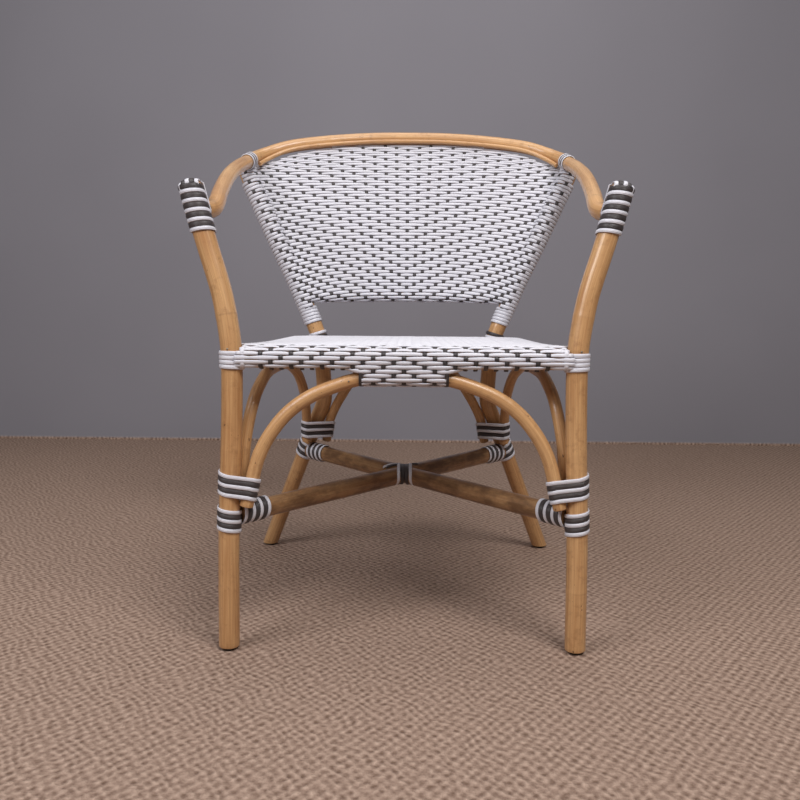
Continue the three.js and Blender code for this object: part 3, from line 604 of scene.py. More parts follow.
def make_arm_and_back_rail():
    cuts = []
    for name, side in SIDES.items():
        along = rail.heading(on_side(side, 0.012)) * -side
        cuts.append((arm_joint[name] + along * (POST_SKIN + 0.4), -along))
    make_pole("arm_back_rail", rail, RAIL_RADIUS - 0.05, (0.19, 0.405, 0.61, 0.83), 5.2, "arm_and_back_rail",
              cuts=cuts)


def make_beading():
    start = rail_tie_share + 31 / rail.length
    line = Cane([beside_rail(start + (1 - 2 * start) * step / 40, 17.95, 0.51) for step in range(41)])
    make_pole("back_beading", line, BEADING_RADIUS, (0.22, 0.63), 6.4, sides=12)


def seat_post_x(height):
    return front_post["right"].where(2, height).x


def seat_rail_line():
    reach = seat_post_x(SEAT_RAIL_HEIGHT) - 5.17
    right = [(SEAT_HALF_WIDTH + share * (reach - SEAT_HALF_WIDTH), depth * SEAT_DEPTH)
             for share, depth in ((1, 0.02), (0.45, 0.09), (0.08, 0.22), (0, 0.4), (0, 0.65), (0, 0.86))]
    right += [(SEAT_STRAIGHT + SEAT_CORNER * cos(turn), SEAT_DEPTH - SEAT_CORNER + SEAT_CORNER * sin(turn))
              for turn in (0.1, 0.4, 0.8, 1.2, 1.5)]
    right += [(120, SEAT_DEPTH), (60, SEAT_DEPTH), (0, SEAT_DEPTH)]
    return Cane(mirrored([(x, y, SEAT_RAIL_HEIGHT) for x, y in right]))


seat_rail = seat_rail_line()


def make_seat_rails():
    reach = seat_post_x(FRONT_RAIL_HEIGHT) - POST_SKIN - 0.4
    line = Cane([(x, 0, FRONT_RAIL_HEIGHT) for x in (-reach, 0, reach)])
    make_pole("seat_front_rail", line, FRONT_RAIL_RADIUS, (0.3, 0.8), 7.7)
    cuts = []
    for side in (-1, 1):
        post = Vector((side * seat_post_x(SEAT_RAIL_HEIGHT), 0, SEAT_RAIL_HEIGHT))
        inward = Vector((-side * 0.36, 0.93, 0)).normalized()
        cuts.append((post + inward * (POST_SKIN + 0.3), -inward))
        cuts.append((Vector((0, FRONT_RAIL_RADIUS + CLEARANCE, SEAT_RAIL_HEIGHT)), FORWARD))
    make_pole("seat_side_back_rail", seat_rail, SEAT_RAIL_RADIUS, (0.15, 0.5, 0.86), 8.2, "seat_side_and_back_rail",
              cuts=cuts)


def front_arch_line():
    foot_x = seat_post_x(FRONT_ARCH_FOOT) - sqrt(26.1 ** 2 - 36)
    return Cane(mirrored([(-x * foot_x, -6 * (1 - z), FRONT_ARCH_FOOT + z * (ARCH_TOP - FRONT_ARCH_FOOT))
                          for x, z in FRONT_ARCH_BENDS]))


def side_arch_line(name, side):
    front = front_post[name].where(2, SIDE_ARCH_FOOT)
    rear = rear_post[name].where(2, REAR_TIE_HEIGHT)
    gap = POST_SKIN + SLIM_ARCH_RADIUS
    reach = POST_SKIN * POST_LEAN + SLIM_ARCH_RADIUS
    end = (rear.x + side * reach * sin(0.43), rear.y - reach * cos(0.43))
    bends = [(front.x - side * gap * cos(0.93), gap * sin(0.93), SIDE_ARCH_FOOT)]
    bends += [(side * x * HALF_WIDTH, y * SEAT_DEPTH, SIDE_ARCH_FOOT + z * (SIDE_ARCH_TOP - SIDE_ARCH_FOOT))
              for x, y, z in SIDE_ARCH_BENDS]
    return Cane(bends + [(*end, REAR_TIE_HEIGHT), (*end, REAR_ARCH_FOOT)])


def rear_arch_line():
    post = rear_post["right"].where(2, REAR_TIE_HEIGHT)
    foot_x = post.x - POST_SKIN * POST_LEAN ** 2 - SLIM_ARCH_RADIUS
    return Cane(mirrored([(-x * foot_x, SEAT_DEPTH + y * (post.y - SEAT_DEPTH),
                           REAR_ARCH_FOOT + z * (SIDE_ARCH_TOP - REAR_ARCH_FOOT)) for x, y, z in REAR_ARCH_BENDS]))


def stretcher_line(name):
    front = front_post[name].where(2, STRETCHER_HEIGHTS[0])
    rear = rear_post[OTHER[name]].where(2, STRETCHER_HEIGHTS[1])
    return Cane([front, (front + rear) / 2, rear])


front_arch = front_arch_line()
side_arch = {name: side_arch_line(name, side) for name, side in SIDES.items()}
rear_arch = rear_arch_line()
stretcher = {name: stretcher_line(name) for name in SIDES}


def cut_lap(piece, line, other, lift):
    """Saws the half lap where the stretchers cross: the other pole's upper or lower half is cut out of this one."""
    cutter = Piece("lap_cutter")
    middle = other.run_where(0, 0)
    lap = (line.where(0, 0) + other.where(0, 0)) / 2
    spots = [other.at_run(middle + step) for step in (-60, -30, 0, 30, 60)]
    wide = [2 * STRETCHER_RADIUS + 0.7] * len(spots)
    cutter.draw(spots, carried_ups(spots, UP), wide, wide, sides=20, cuts=((lap + UP * lift * -0.15, UP * lift),))
    objects = []
    for work in (piece.work, cutter.work):
        mesh = bpy.data.meshes.new("lap")
        work.to_mesh(mesh)
        objects.append(placed("lap", mesh))
    saw = objects[0].modifiers.new("lap", "BOOLEAN")
    saw.operation, saw.solver, saw.object = "DIFFERENCE", "EXACT", objects[1]
    graph = bpy.context.evaluated_depsgraph_get()
    piece.take_from(bpy.data.meshes.new_from_object(objects[0].evaluated_get(graph)))
    cutter.work.free()
    for item in objects:
        bpy.data.objects.remove(item)
    # the sawn faces get their grain from the pole's own directions
    run = piece.work.verts.layers.float_vector["run"]
    way = line.heading(0.5)
    aside = way.cross(UP).normalized()
    for vertex in piece.work.verts:
        reach = vertex.co - line.at(0)
        vertex[run] = (reach.dot(aside), reach.dot(aside.cross(way)), reach.dot(way))


def make_side_arch(name, side):
    make_pole(name + "_side_arch", side_arch[name], SLIM_ARCH_RADIUS, (0.1, 0.42, 0.8), 10.3 + side)


def make_stretcher(name, side):
    line = stretcher[name]
    way = line.heading(0)
    cuts = ((line.at(0) + way * (POST_SKIN + 0.3), -way),
            (line.at(1) - way * (POST_RADIUS * POST_LEAN + CLEARANCE + 0.3), way))
    piece = Piece(name + "_stretcher_cane")
    draw_pole(piece, line, STRETCHER_RADIUS, (0.33, 0.78), 12.4 + side, cuts=cuts)
    cut_lap(piece, line, stretcher[OTHER[name]], -side)
    # the stretchers take the cane with painted shade, for the seat's shade over them
    piece.finish(shade_darkened_cane, "rattan", name + "_front_stretcher", crisp=True)


def draw_turned(piece, spot, outward, profile, sides, size=1.0):
    """Draws a small turned part: its profile tells the rise and the width of each ring."""
    side = outward.cross(UP if abs(outward.z) < 0.8 else FORWARD).normalized()
    wide = [size * width for _, width in profile]
    piece.draw([spot + outward * rise for rise, _ in profile], [side] * len(profile), wide, wide, sides=sides)


def make_glides(name, side):
    for end, post in (("front", front_post[name]), ("rear", rear_post[name])):
        foot = post.where(2, FOOT_CUT + 0.6)
        piece = Piece(name + "_" + end + "_foot_glide")
        draw_turned(piece, Vector((foot.x, foot.y, 0)), UP, GLIDE_PROFILE, 28)
        piece.finish(black_glide, "glide", name + "_" + end + "_glide")


# ---------------- bindings
def wound(origin, axis, first, members, start, turns, pitch, hand, thickness=STRAND_THICKNESS):
    """The path of a strand pulled tight round one pole or round a bundle; its ends sink under its other turns."""
    if len(members) == 1:
        put = round_pole(origin, axis, first, *members[0], start, pitch * turns, hand)
    else:
        put = round_bundle(origin, axis.normalized(), first, members, start, pitch * turns, hand)
    count = max(8, round(STEPS_PER_TURN * turns))
    path = []
    for step in range(count + 1):
        share = step / count
        sink = 0.9 * thickness * max(0.0, 1 - min(step, count - step) / STEPS_PER_TURN * 14)
        path.append(put(share, 2 * pi * turns * share, STRAND_LIFT + thickness / 2 - sink))
    return path


def round_bundle(origin, axis, first, members, start, climb, hand):
    """Places a winding in planes square to the axis, outside all the poles of the bundle."""
    first = across(axis, first)
    second = axis.cross(first)
    ovals = []
    for cane, radius in members:
        pair = []
        for along in (start, start + climb):
            place, heading = cane.across_plane(origin + axis * along, axis)
            pair.append(Vector(((place - origin).dot(first), (place - origin).dot(second))))
        slant = Vector((heading.dot(first), heading.dot(second)))
        slant = slant.normalized() if slant.length > 0.02 else Vector((1, 0))
        ovals.append((*pair, radius, radius / max(abs(heading.dot(axis)), 0.3), slant))

    def put(share, turn, lift):
        out = Vector((cos(turn), sin(turn) * hand))
        reaches = []
        for near, far, radius, stretch, slant in ovals:
            # a pole cut aslant is an oval: its far edge in this direction
            level = Vector((-slant.y, slant.x))
            edge = slant * (stretch ** 2 * slant.dot(out)) + level * (radius ** 2 * level.dot(out))
            bulge = sqrt(edge.dot(out))
            middle = near.lerp(far, share)
            reaches.append((middle.dot(out) + bulge, middle + edge / bulge))
        touch = max(reaches, key=lambda reach: reach[0])[1] + out * lift
        return (origin + axis * (start + climb * share) + first * touch.x + second * touch.y,
                first * out.x + second * out.y)
    return put


def round_pole(origin, axis, first, cane, radius, start, climb, hand):
    """Places a winding round a single pole, square to it all along its bends."""
    index = min(range(1, len(cane.spots) - 1), key=lambda number: (cane.spots[number] - origin).length)
    heading = heading_at(cane.spots, index)
    middle = cane.runs[index] + (origin - cane.spots[index]).dot(heading)
    sense = 1 if heading.dot(axis) > 0 else -1

    def put(share, turn, lift):
        run = middle + sense * (start + climb * share)
        way = cane.heading(run / cane.length) * sense
        level = across(way, first)
        up = level * cos(turn) + way.cross(level) * sin(turn) * hand
        return cane.at_run(run) + up * (radius + lift), up
    return put


def pair_binding(label, origin, axis, first, members, white, dark, hand, pitch=PAIR_PITCH):
    """White and dark strands wound side by side, in so many bands of each."""
    start = -(white + dark + 1) * pitch / 4
    for colour, bands, width, shift in (("white", white, WHITE_WIDTH, 0), ("dark", dark, DARK_WIDTH, pitch / 2)):
        piece = Piece(label + "_" + colour + "_winding")
        path = wound(origin, axis, first, members, start + shift, bands - 1 / 8, pitch, hand)
        draw_strand(piece, path, width * pitch / PAIR_PITCH, tint=(len(label) * 0.17 + shift) % 1)
        finish_strand(piece, colour, label + "_" + colour + "_binding")


def plain_binding(label, origin, axis, members, turns, hand):
    piece = Piece(label + "_white_winding")
    path = wound(origin, axis, BACKWARD, members, -turns * PLAIN_PITCH / 2, turns, PLAIN_PITCH, hand, thickness=2.0)
    draw_strand(piece, path, PLAIN_PITCH - 0.25, tint=0.3)
    finish_strand(piece, "white", label + "_binding")


def make_bindings(name, side):
    post, leg, line = front_post[name], rear_post[name], stretcher[name]
    on_post, on_leg, on_line = [(post, POST_RADIUS)], [(leg, POST_RADIUS)], [(line, STRETCHER_RADIUS)]
    slim = (side_arch[name], SLIM_ARCH_RADIUS)
    tie = on_side(side, rail_tie_share) - side * RAIL_TIE_SHIFT / rail.length
    lower, wrap = leg.run_where(2, REAR_LOWER_TIE), leg.run_where(2, POST_WRAP_HEIGHT)
    way = line.heading(0.5)
    pair_binding(name + "_arm_tip", post.where(2, ARM_HEIGHT - TIP_TIE_DROP),
                 post.way_at(post.run_where(2, ARM_JOINT_HEIGHT), 2), BACKWARD, on_post, 5, 5, side)
    pair_binding(name + "_rail_tie", rail.at(tie), rail.heading(tie), DOWN, [(rail, RAIL_RADIUS)], 3, 2, side,
                 RAIL_TIE_PITCH)
    pair_binding(name + "_front_upper", post.where(2, FRONT_UPPER_TIE), Vector((-side * 0.11, 0, 1)),
                 Vector((-side, 1, 0)), on_post + [slim, (front_arch, FRONT_ARCH_RADIUS)], 3, 2, side)
    pair_binding(name + "_front_lower", post.where(2, FRONT_LOWER_TIE), UP, BACKWARD, on_post, 3, 2, side)
    pair_binding(name + "_rear_upper", leg.where(2, REAR_TIE_HEIGHT), UP, Vector((side, 1, 0)),
                 [(leg, POST_RADIUS * POST_LEAN), slim, (rear_arch, SLIM_ARCH_RADIUS)], 3, 2, side)
    pair_binding(name + "_rear_lower", leg.at_run(lower), leg.way_at(lower), BACKWARD, on_leg, 3, 2, side)
    pair_binding(name + "_front_stretcher_front", line.at(0) + way * STRETCHER_TIE[0], way, DOWN, on_line,
                 4, 3, side)
    pair_binding(OTHER[name] + "_rear_stretcher_end", line.at(1) - way * STRETCHER_TIE[1], -way, DOWN, on_line,
                 4, 3, side)
    plain_binding(name + "_seat_corner", post.where(2, SEAT_TIE_HEIGHT), UP, on_post, 4, side)
    plain_binding(name + "_post_wrap", leg.at_run(wrap), leg.way_at(wrap), on_leg, 5, side)


# colour, where along, how far its lower end spreads, width
CROSSING_RINGS = (("white", -10.2, -7.5, 5.6), ("dark", -3.9, -3.5, 8),
                  ("dark", 3.9, 3.5, 8), ("white", 10.2, 7.5, 5.6))
# colour, stretcher, from and to along it, width, turns round it
CROSSING_TUCKS = (("white", "right", 14, 42, 5.4, 0.18), ("dark", "right", 7, 34, 6.2, 0.17),
                  ("dark", "left", 14, 30, 5.4, 0.05))


def make_crossing_lashing():
    """Two dark strands between two white ones where the stretchers cross, and the tucked ends beside them."""
    middle = (stretcher["left"].where(0, 0) + stretcher["right"].where(0, 0)) / 2
    members = [(stretcher[name], STRETCHER_RADIUS) for name in SIDES]
    pieces = {colour: Piece("crossing_" + colour + "_winding") for colour in strands}
    for colour, start, flare, width in CROSSING_RINGS:
        path = wound(middle, Vector((1, 0, 0)), DOWN, members, start, 0.99, 0.5, 1)
        for spot, _ in path:
            spot.x += flare * (max(0.0, middle.z - spot.z) / 16) ** 2
        draw_strand(pieces[colour], path, width, tint=0.4)
    for colour, name, near, far, width, drop in CROSSING_TUCKS:
        cane = stretcher[name]
        way = cane.heading(0.5)
        level = across(way, UP)
        ahead = way.cross(level)
        ahead = ahead if ahead.y < 0 else -ahead
        path = []
        for step in range(11):
            share = step / 10
            turn = 2 * pi * (-0.02 + (drop + 0.02) * share)
            out = level * cos(turn) + ahead * sin(turn)
            path.append((cane.at_run(cane.run_where(0, 0) + near + (far - near) * share)
                         + out * (STRETCHER_RADIUS + 1.1 - 1.6 * max(0, abs(share - 0.5) - 0.4) * 10), out))
        draw_strand(pieces[colour], path, width, tint=0.7)
    for colour, piece in pieces.items():
        finish_strand(piece, colour, "crossing_" + colour + "_binding")


# ---------------- over two and under one
def meets(row, upright, sense):
    """Whether the dark strand lies over the white row here: one crossing in three, a row further each time."""
    return (row + sense * abs(upright)) % 3 == 0


def nearest(place, met, last=99):
    """How far a place is, in spacings, from the nearest of the numbered strands that are met."""
    numbers = range(max(-last, floor(place) - 1), min(last, ceil(place) + 1) + 1)
    return min([abs(place - number) for number in numbers if met(number)] + [9.0])


def hump(away, reach):
    """1 at a crossing and 0 at this reach from it."""
    return max(0.0, 1 - (away / reach) ** 2) ** 2


def float_bulge(away):
    """The share of its full width that a row's strand has, pinched beside the dark squares."""
    return 1 - 0.34 * max(0.0, 1 - away / 1.25) ** 1.3


DIVE = 0.74  # how near to a crossing a row's strand begins to dive, in spacings
RISE = 0.8  # and how near a dark strand begins to rise


# ---------------- the woven back
BACK_LAYER = 10.05  # from the lower rod's middle to the middle of the weave round it
BACK_SWELL = 11
BACK_ROWS = range(-2, 54)
EVEN_ROWS = 27  # above this row they lie closer and closer in the middle
MIDDLE_START, MIDDLE_PITCH = 524.9, 6.25
UPPER_PITCH, UPPER_TIGHTENING = 6.1, 0.0248
POST_SIDE_START, POST_SIDE_PITCH = 506.2, 6.23
WIDEST_ROW = 7.2
BACK_FILL = 0.97  # the strand's share of its row
BACK_ROW_THICKNESS = 2.9
BACK_RIDE, BACK_DIP = 1.1, 1.95  # how far a row rides before the weave's middle, and dips at a crossing
EDGE_STAND_OFF = 2.3  # from the rear post to the middle of the weave at its edge
WRAPPED_BELOW = 772  # rows under this height go round the posts
LONG_TAILS_BELOW = 745  # and under this one they are drawn to the post's back
BACK_TAIL_START, BACK_TAIL_STEP = 0.32, 0.36  # turns round the post, in radians
UNDER_ROD_REACH, UPPER_REACH = 14.6, 15.9  # how far the other rows reach, in uprights
LAST_UPRIGHT = 17
UPRIGHT_WIDTH = 7.3
UPRIGHT_DEPTH, UPRIGHT_RISE = 0.95, 2.3  # how far it lies behind the weave's middle, and rises at a crossing
DARK_THICKNESS = 1.5
known_places = {}


def known(key, find):
    """What was found for this key before, or is found now."""
    if key not in known_places:
        known_places[key] = find()
    return known_places[key]


def back_row_height(row, share):
    """The rows lie level in the middle and, beside the posts, lower at the bottom; the upper ones lie closer."""
    upper = max(row - EVEN_ROWS, 0)
    middle = MIDDLE_START + MIDDLE_PITCH * min(row, EVEN_ROWS) + UPPER_PITCH * upper - UPPER_TIGHTENING * upper ** 2
    beside_post = POST_SIDE_START + POST_SIDE_PITCH * row
    return middle + (beside_post - middle) * abs(share) ** 3


def back_edges(share):
    """The lower rod's middle and the weave's upper edge under the rail."""
    rail_share = rail_post_share + (1 - 2 * rail_post_share) * (share + 1) / 2
    return rod.at((share + 1) / 2), beside_rail(rail_share, 16, 1.04)


def back_rise(share, height):
    low, high = back_edges(share)
    return (height - low.z) / (high.z - low.z)


def edge_shift(side, height):
    """How far the plain sheet moves at its edge to lie on the front of the rear post."""
    low, high = back_edges(side)
    rise = back_rise(side, height)
    plain = (low - Vector((0, BACK_LAYER, 0))).lerp(high, rise)
    plain += Vector((BACK_SWELL * 4 * rise * (1 - rise) * side, 0, 0))
    return rear_post[NAMES[side]].where(2, height) + Vector((0, -POST_RADIUS - EDGE_STAND_OFF, 0)) - plain


def post_at_height(side, height):
    post = rear_post[NAMES[side]]
    run = post.run_where(2, height)
    return post.at_run(run), post.way_at(run)


def back_face(share, height):
    """A place in the middle of the back weave: share runs from the left post to the right one."""
    low, high = known(round(share, 5), lambda: back_edges(min(max(share, -1), 1)))
    side = 1 if share > 0 else -1
    if height < low.z and abs(share) < 0.93:
        turn = (low.z - height) / BACK_LAYER
        return low + Vector((0, -BACK_LAYER * cos(turn), -BACK_LAYER * sin(turn)))
    rise = (height - low.z) / (high.z - low.z)
    spot = (low - Vector((0, BACK_LAYER, 0))).lerp(high, rise)
    swell = 4 * rise * (1 - rise)
    spot += Vector((BACK_SWELL * swell * share, -BACK_SWELL * swell * (1 - share * share), 0))
    if abs(share) > 0.2:
        spot += known((side, round(height, 3)), lambda: edge_shift(side, height)) * abs(share) ** 3
    if abs(share) > 0.82:
        # the rear post stands behind the weave here and holds it off
        centre, way = known(("post", side, round(spot.z, 1)), lambda: post_at_height(side, spot.z))
        off = spot - centre
        off -= way * off.dot(way)
        spot = spot + off * max(0.0, (POST_RADIUS + 2.2) / max(off.length, 1) - 1)
    return spot


def back_normal(share, height):
    along = back_face(min(share + 0.01, 1), height) - back_face(max(share - 0.01, -1), height)
    upward = back_face(share, height + 1.5) - back_face(share, height - 1.5)
    return along.cross(upward).normalized()


def back_share(place):
    """Where an upright's number, whole or not, stands between the middle and the post."""
    low = floor(abs(place))
    share = 1.0 if low >= LAST_UPRIGHT else BACK_UPRIGHTS[low] + (
        BACK_UPRIGHTS[low + 1] - BACK_UPRIGHTS[low]) * (abs(place) - low)
    return copysign(share, place)


def post_turn(side, height, turn, out):
    """A place round the rear post, square to it: turn 0 is its front and grows to the outside."""
    centre, way = post_at_height(side, height)
    direction = across(way, FORWARD) * cos(turn) + across(way, Vector((side, 0, 0))) * sin(turn)
    return centre + direction * out, direction


def back_row(piece, row):
    wraps = row >= 0 and back_row_height(row, 1) < WRAPPED_BELOW
    reach = LAST_UPRIGHT if wraps else UNDER_ROD_REACH if row < 0 else UPPER_REACH
    while reach > 1 and not wraps:
        share = back_share(reach)
        if back_rise(share, back_row_height(row, share)) < 1.02:
            break
        reach -= 0.25
    count = round(reach * 4)
    points = []
    for step in range(-count, count + 1):
        place = reach * step / count
        share = back_share(place)
        height = back_row_height(row, share)
        normal = back_normal(share, height)
        away = nearest(place, lambda upright: meets(row, upright, -1), LAST_UPRIGHT)
        pitch = (back_face(share, back_row_height(row + 0.5, share))
                 - back_face(share, back_row_height(row - 0.5, share))).length
        points.append((back_face(share, height) + normal * (BACK_RIDE - BACK_DIP * hump(away, DIVE)), normal,
                       min(pitch, WIDEST_ROW) * BACK_FILL * float_bulge(away),
                       BACK_ROW_THICKNESS * float_bulge(away)))
    if wraps:
        height = back_row_height(row, 1)
        stops = 9 if height < LONG_TAILS_BELOW else 2
        left, right = [[post_turn(side, height, BACK_TAIL_START + turn * BACK_TAIL_STEP,
                                  POST_RADIUS + 1.7 - 0.05 * turn)
                        + ((6.3, 2.4) if turn < stops - 1 else (5.6, 1.4)) for turn in range(stops)]
                       for side in (-1, 1)]
        points = left[::-1] + points + right
    piece.draw(*zip(*points), tint=(row * GOLDEN) % 1)


def back_upright(piece, upright):
    share = back_share(upright)
    beside_post = abs(upright) >= LAST_UPRIGHT - 1
    lowest = -0.6 if beside_post else -1.6
    path = []
    step = lowest
    while step < 53.6:
        height = back_row_height(step, share)
        if back_rise(share, height) > 1.0 or (beside_post and height > WRAPPED_BELOW):
            break
        lift = hump(nearest(step, lambda row: meets(row, upright, -1)), RISE)
        normal = back_normal(share, height)
        path.append((back_face(share, height) + normal * (-UPRIGHT_DEPTH + UPRIGHT_RISE * lift), normal))
        step += 1 / 3
    if not beside_post:
        # the strand's lower end is turned under the rod
        low = back_edges(share)[0]
        for extra in range(1, 6):
            angle = (low.z - back_row_height(lowest, share)) / BACK_LAYER + extra * 0.35
            direction = Vector((0, -cos(angle), -sin(angle)))
            path.insert(0, (low + direction * (BACK_LAYER - UPRIGHT_DEPTH), direction))
    draw_dark(piece, path, UPRIGHT_WIDTH, upright)


def draw_dark(piece, path, width, number):
    spots, ups = zip(*path)
    piece.draw(spots, ups, [width] * len(path), [DARK_THICKNESS] * len(path), sides=6, tint=(number * GOLDEN) % 1)


def make_weave(label, draw_row, rows, draw_upright, last):
    """The white rows, which stand for the woven node, and the dark strands behind and over them."""
    white = Piece(label + "_white_rows")
    for row in rows:
        draw_row(white, row)
    finish_strand(white, "white", label + "_weave")
    dark = Piece(label + ("_dark_uprights" if label == "back" else "_dark_warps"))
    for number in range(-last, last + 1):
        draw_upright(dark, number)
    finish_strand(dark, "dark")


# ---------------- the woven seat
SEAT_LEVEL = 447.6
FRONT_TURN = 16.9
BACK_TURN = SEAT_LEVEL - SEAT_RAIL_HEIGHT
ARCH_TURN = FRONT_ARCH_RADIUS + 2.65
APRON = 61
APRON_WARPS = 4
LAST_WARP = 15
WARP_SPACING = 14.4
SEAT_ROWS = range(-10, 77)
SEAT_ROW_START = -25.5
SEAT_ROW_PITCH = 6.2
SEAT_ROW_WIDTH, SEAT_ROW_THICKNESS = 6.05, 2.8
SEAT_RIDE, SEAT_DIP = 1.0, 1.9  # as for the back
SEAT_TAIL_START, SEAT_TAIL_STEP = 0.15, 0.42  # turns round the side rail, in radians
LAST_TAIL_DEPTH = 380
CORNER_DEPTH = 17.4  # rows before this one end beside the front post
CORNER_CLEARANCE = 18.2
RAIL_ROW_REACH, RAIL_ROW_STEPS, RAIL_ROW_SPACING = 222, 96, 13.8  # rows that follow the back rail round
WARP_WIDTH = 7.0
WARP_DEPTH, WARP_RISE = 0.9, 2.2
WARP_START, APRON_WARP_START = -48, -112
WARP_TUCK = 2.9  # radians round the back rail
APRON_WARP_X = 60.5  # the outermost warp of the apron follows its edge
APRON_FADE_END, APRON_FADE = 80, 18
APRON_FACING = Vector((0, -0.986, -0.167))
FRONT_TUCK = 3.3


def side_rail_x(depth):
    """How far out the side rail's middle is at this depth."""
    if depth > SEAT_DEPTH - SEAT_CORNER:
        inside = min((depth - (SEAT_DEPTH - SEAT_CORNER)) / SEAT_CORNER, 1)
        return SEAT_STRAIGHT + SEAT_CORNER * sqrt(1 - inside * inside)
    return seat_rail.where(1, max(depth, 9.0)).x


def rolled(spot, outward, turn, radius):
    direction = outward * sin(turn) + UP * cos(turn)
    return spot + direction * radius, direction


def round_back_rail(along, turn):
    """A place round the back rail, at this distance along it from the chair's middle."""
    corner = max(0.0, abs(along) - SEAT_STRAIGHT) / SEAT_CORNER
    side = 1 if along > 0 else -1
    outward = Vector((side * sin(corner), cos(corner), 0))
    centre = Vector((side * min(abs(along), SEAT_STRAIGHT), SEAT_DEPTH - SEAT_CORNER, SEAT_RAIL_HEIGHT))
    return rolled(centre + outward * SEAT_CORNER, outward, turn, BACK_TURN)


def seat_back_edge(inside):
    """The depth of the back rail's middle, nearer by its corner the further a place is inside the corner."""
    return SEAT_DEPTH - SEAT_CORNER + sqrt(max(SEAT_CORNER ** 2 - inside ** 2, 0))


def seat_face(x, run):
    """A place on the seat weave and its outward direction: run counts back from the front rail's top."""
    if run < 0:
        turn = -run / FRONT_TURN
        plain = rolled(Vector((x, 0, FRONT_RAIL_HEIGHT)), FORWARD, min(turn, FRONT_TUCK), FRONT_TURN)
        share = min(max((APRON_FADE_END - abs(x)) / APRON_FADE, 0), 1)
        if share == 0 or turn < pi / 2:
            return plain
        down = -run - FRONT_TURN * pi / 2
        start = Vector((x, -FRONT_TURN, FRONT_RAIL_HEIGHT))
        end = Vector((x, -ARCH_TURN, ARCH_TOP))
        fall = (end - start).length
        if down < fall:
            apron = start.lerp(end, down / fall), APRON_FACING
        else:
            apron = rolled(Vector((x, 0, ARCH_TOP)), FORWARD, pi / 2 + (down - fall) / ARCH_TURN, ARCH_TURN)
        return plain[0].lerp(apron[0], share), plain[1].lerp(apron[1], share).normalized()
    inside = max(0.0, abs(x) - SEAT_STRAIGHT)
    back = seat_back_edge(inside)
    if run <= back:
        return Vector((x, run, SEAT_LEVEL)), UP
    turn = asin(min(inside / SEAT_CORNER, 1))
    outward = Vector((copysign(sin(turn), x), cos(turn), 0))
    return rolled(Vector((x, back, SEAT_RAIL_HEIGHT)), outward, (run - back) / BACK_TURN, BACK_TURN)


def warp_spacing(run):
    return WARP_SPACING - 0.6 * min(max(run / 120, 0), 1)


def seat_warp_x(warp, run):
    return copysign(APRON_WARP_X, warp) if abs(warp) == APRON_WARPS and run < -38 else warp * warp_spacing(run)


def seat_row_ends(row, run):
    """How far a row reaches from the middle, and how many steps its tails go round the side rails."""
    if run < -FRONT_TURN * pi / 2 - 15:
        return APRON - 1.5 if row < -3 else 84, 0
    if run < CORNER_DEPTH:
        depth = -FRONT_TURN * sin(min(-run / FRONT_TURN, pi / 2)) if run < 0 else run
        return seat_post_x(SEAT_RAIL_HEIGHT) - sqrt(max(CORNER_CLEARANCE ** 2 - depth ** 2, 0)) - 0.4, 0
    return side_rail_x(run), 8 if run < LAST_TAIL_DEPTH else 0


def seat_row(piece, row):
    run = SEAT_ROW_START + SEAT_ROW_PITCH * row
    tint = (row * GOLDEN) % 1

    def lifted(place, spacing, x):
        away = nearest(x / spacing, lambda warp: meets(row, warp, 1), LAST_WARP)
        return place[0] + place[1] * (SEAT_RIDE - SEAT_DIP * hump(away, DIVE)), place[1], away

    if run > SEAT_DEPTH + 2:
        turn = (run - SEAT_DEPTH) / BACK_TURN
        path = []
        for step in range(-RAIL_ROW_STEPS, RAIL_ROW_STEPS + 1):
            along = RAIL_ROW_REACH * step / RAIL_ROW_STEPS
            path.append(lifted(round_back_rail(along, turn), RAIL_ROW_SPACING, along)[:2])
        draw_strand(piece, path, 5.8, thickness=2.6, tint=tint)
        return
    reach, wrap = seat_row_ends(row, run)
    count = round(reach / WARP_SPACING * 4)
    points = []
    for step in range(-count, count + 1):
        x = reach * step / count
        spot, up, away = lifted(seat_face(x, run), warp_spacing(run), x)
        points.append((spot, up, SEAT_ROW_WIDTH * float_bulge(away), SEAT_ROW_THICKNESS * float_bulge(away)))
    left, right = [[rolled(Vector((side * reach, run, SEAT_RAIL_HEIGHT)), Vector((side, 0, 0)),
                           SEAT_TAIL_START + turn * SEAT_TAIL_STEP, BACK_TURN + 0.9 - 0.08 * turn) + (6.0, 2.1)
                    for turn in range(wrap)] for side in (-1, 1)]
    piece.draw(*zip(*left[::-1], *points, *right), tint=tint)


def seat_warp(piece, warp):
    run = APRON_WARP_START if abs(warp) <= APRON_WARPS else WARP_START
    end = seat_back_edge(max(0.0, abs(seat_warp_x(warp, 300)) - SEAT_STRAIGHT)) + BACK_TURN * WARP_TUCK
    path = []
    while run < end:
        row = (run - SEAT_ROW_START) / SEAT_ROW_PITCH
        lift = hump(nearest(row, lambda near: meets(near, warp, 1)), RISE)
        if abs(warp) == APRON_WARPS and run < -40:
            lift = 1.0
        if abs(warp) < LAST_WARP or run >= 17.5:
            spot, up = seat_face(seat_warp_x(warp, run), run)
            path.append((spot + up * (-WARP_DEPTH + WARP_RISE * lift), up))
        run += SEAT_ROW_PITCH / 3
    draw_dark(piece, path, WARP_WIDTH, warp)


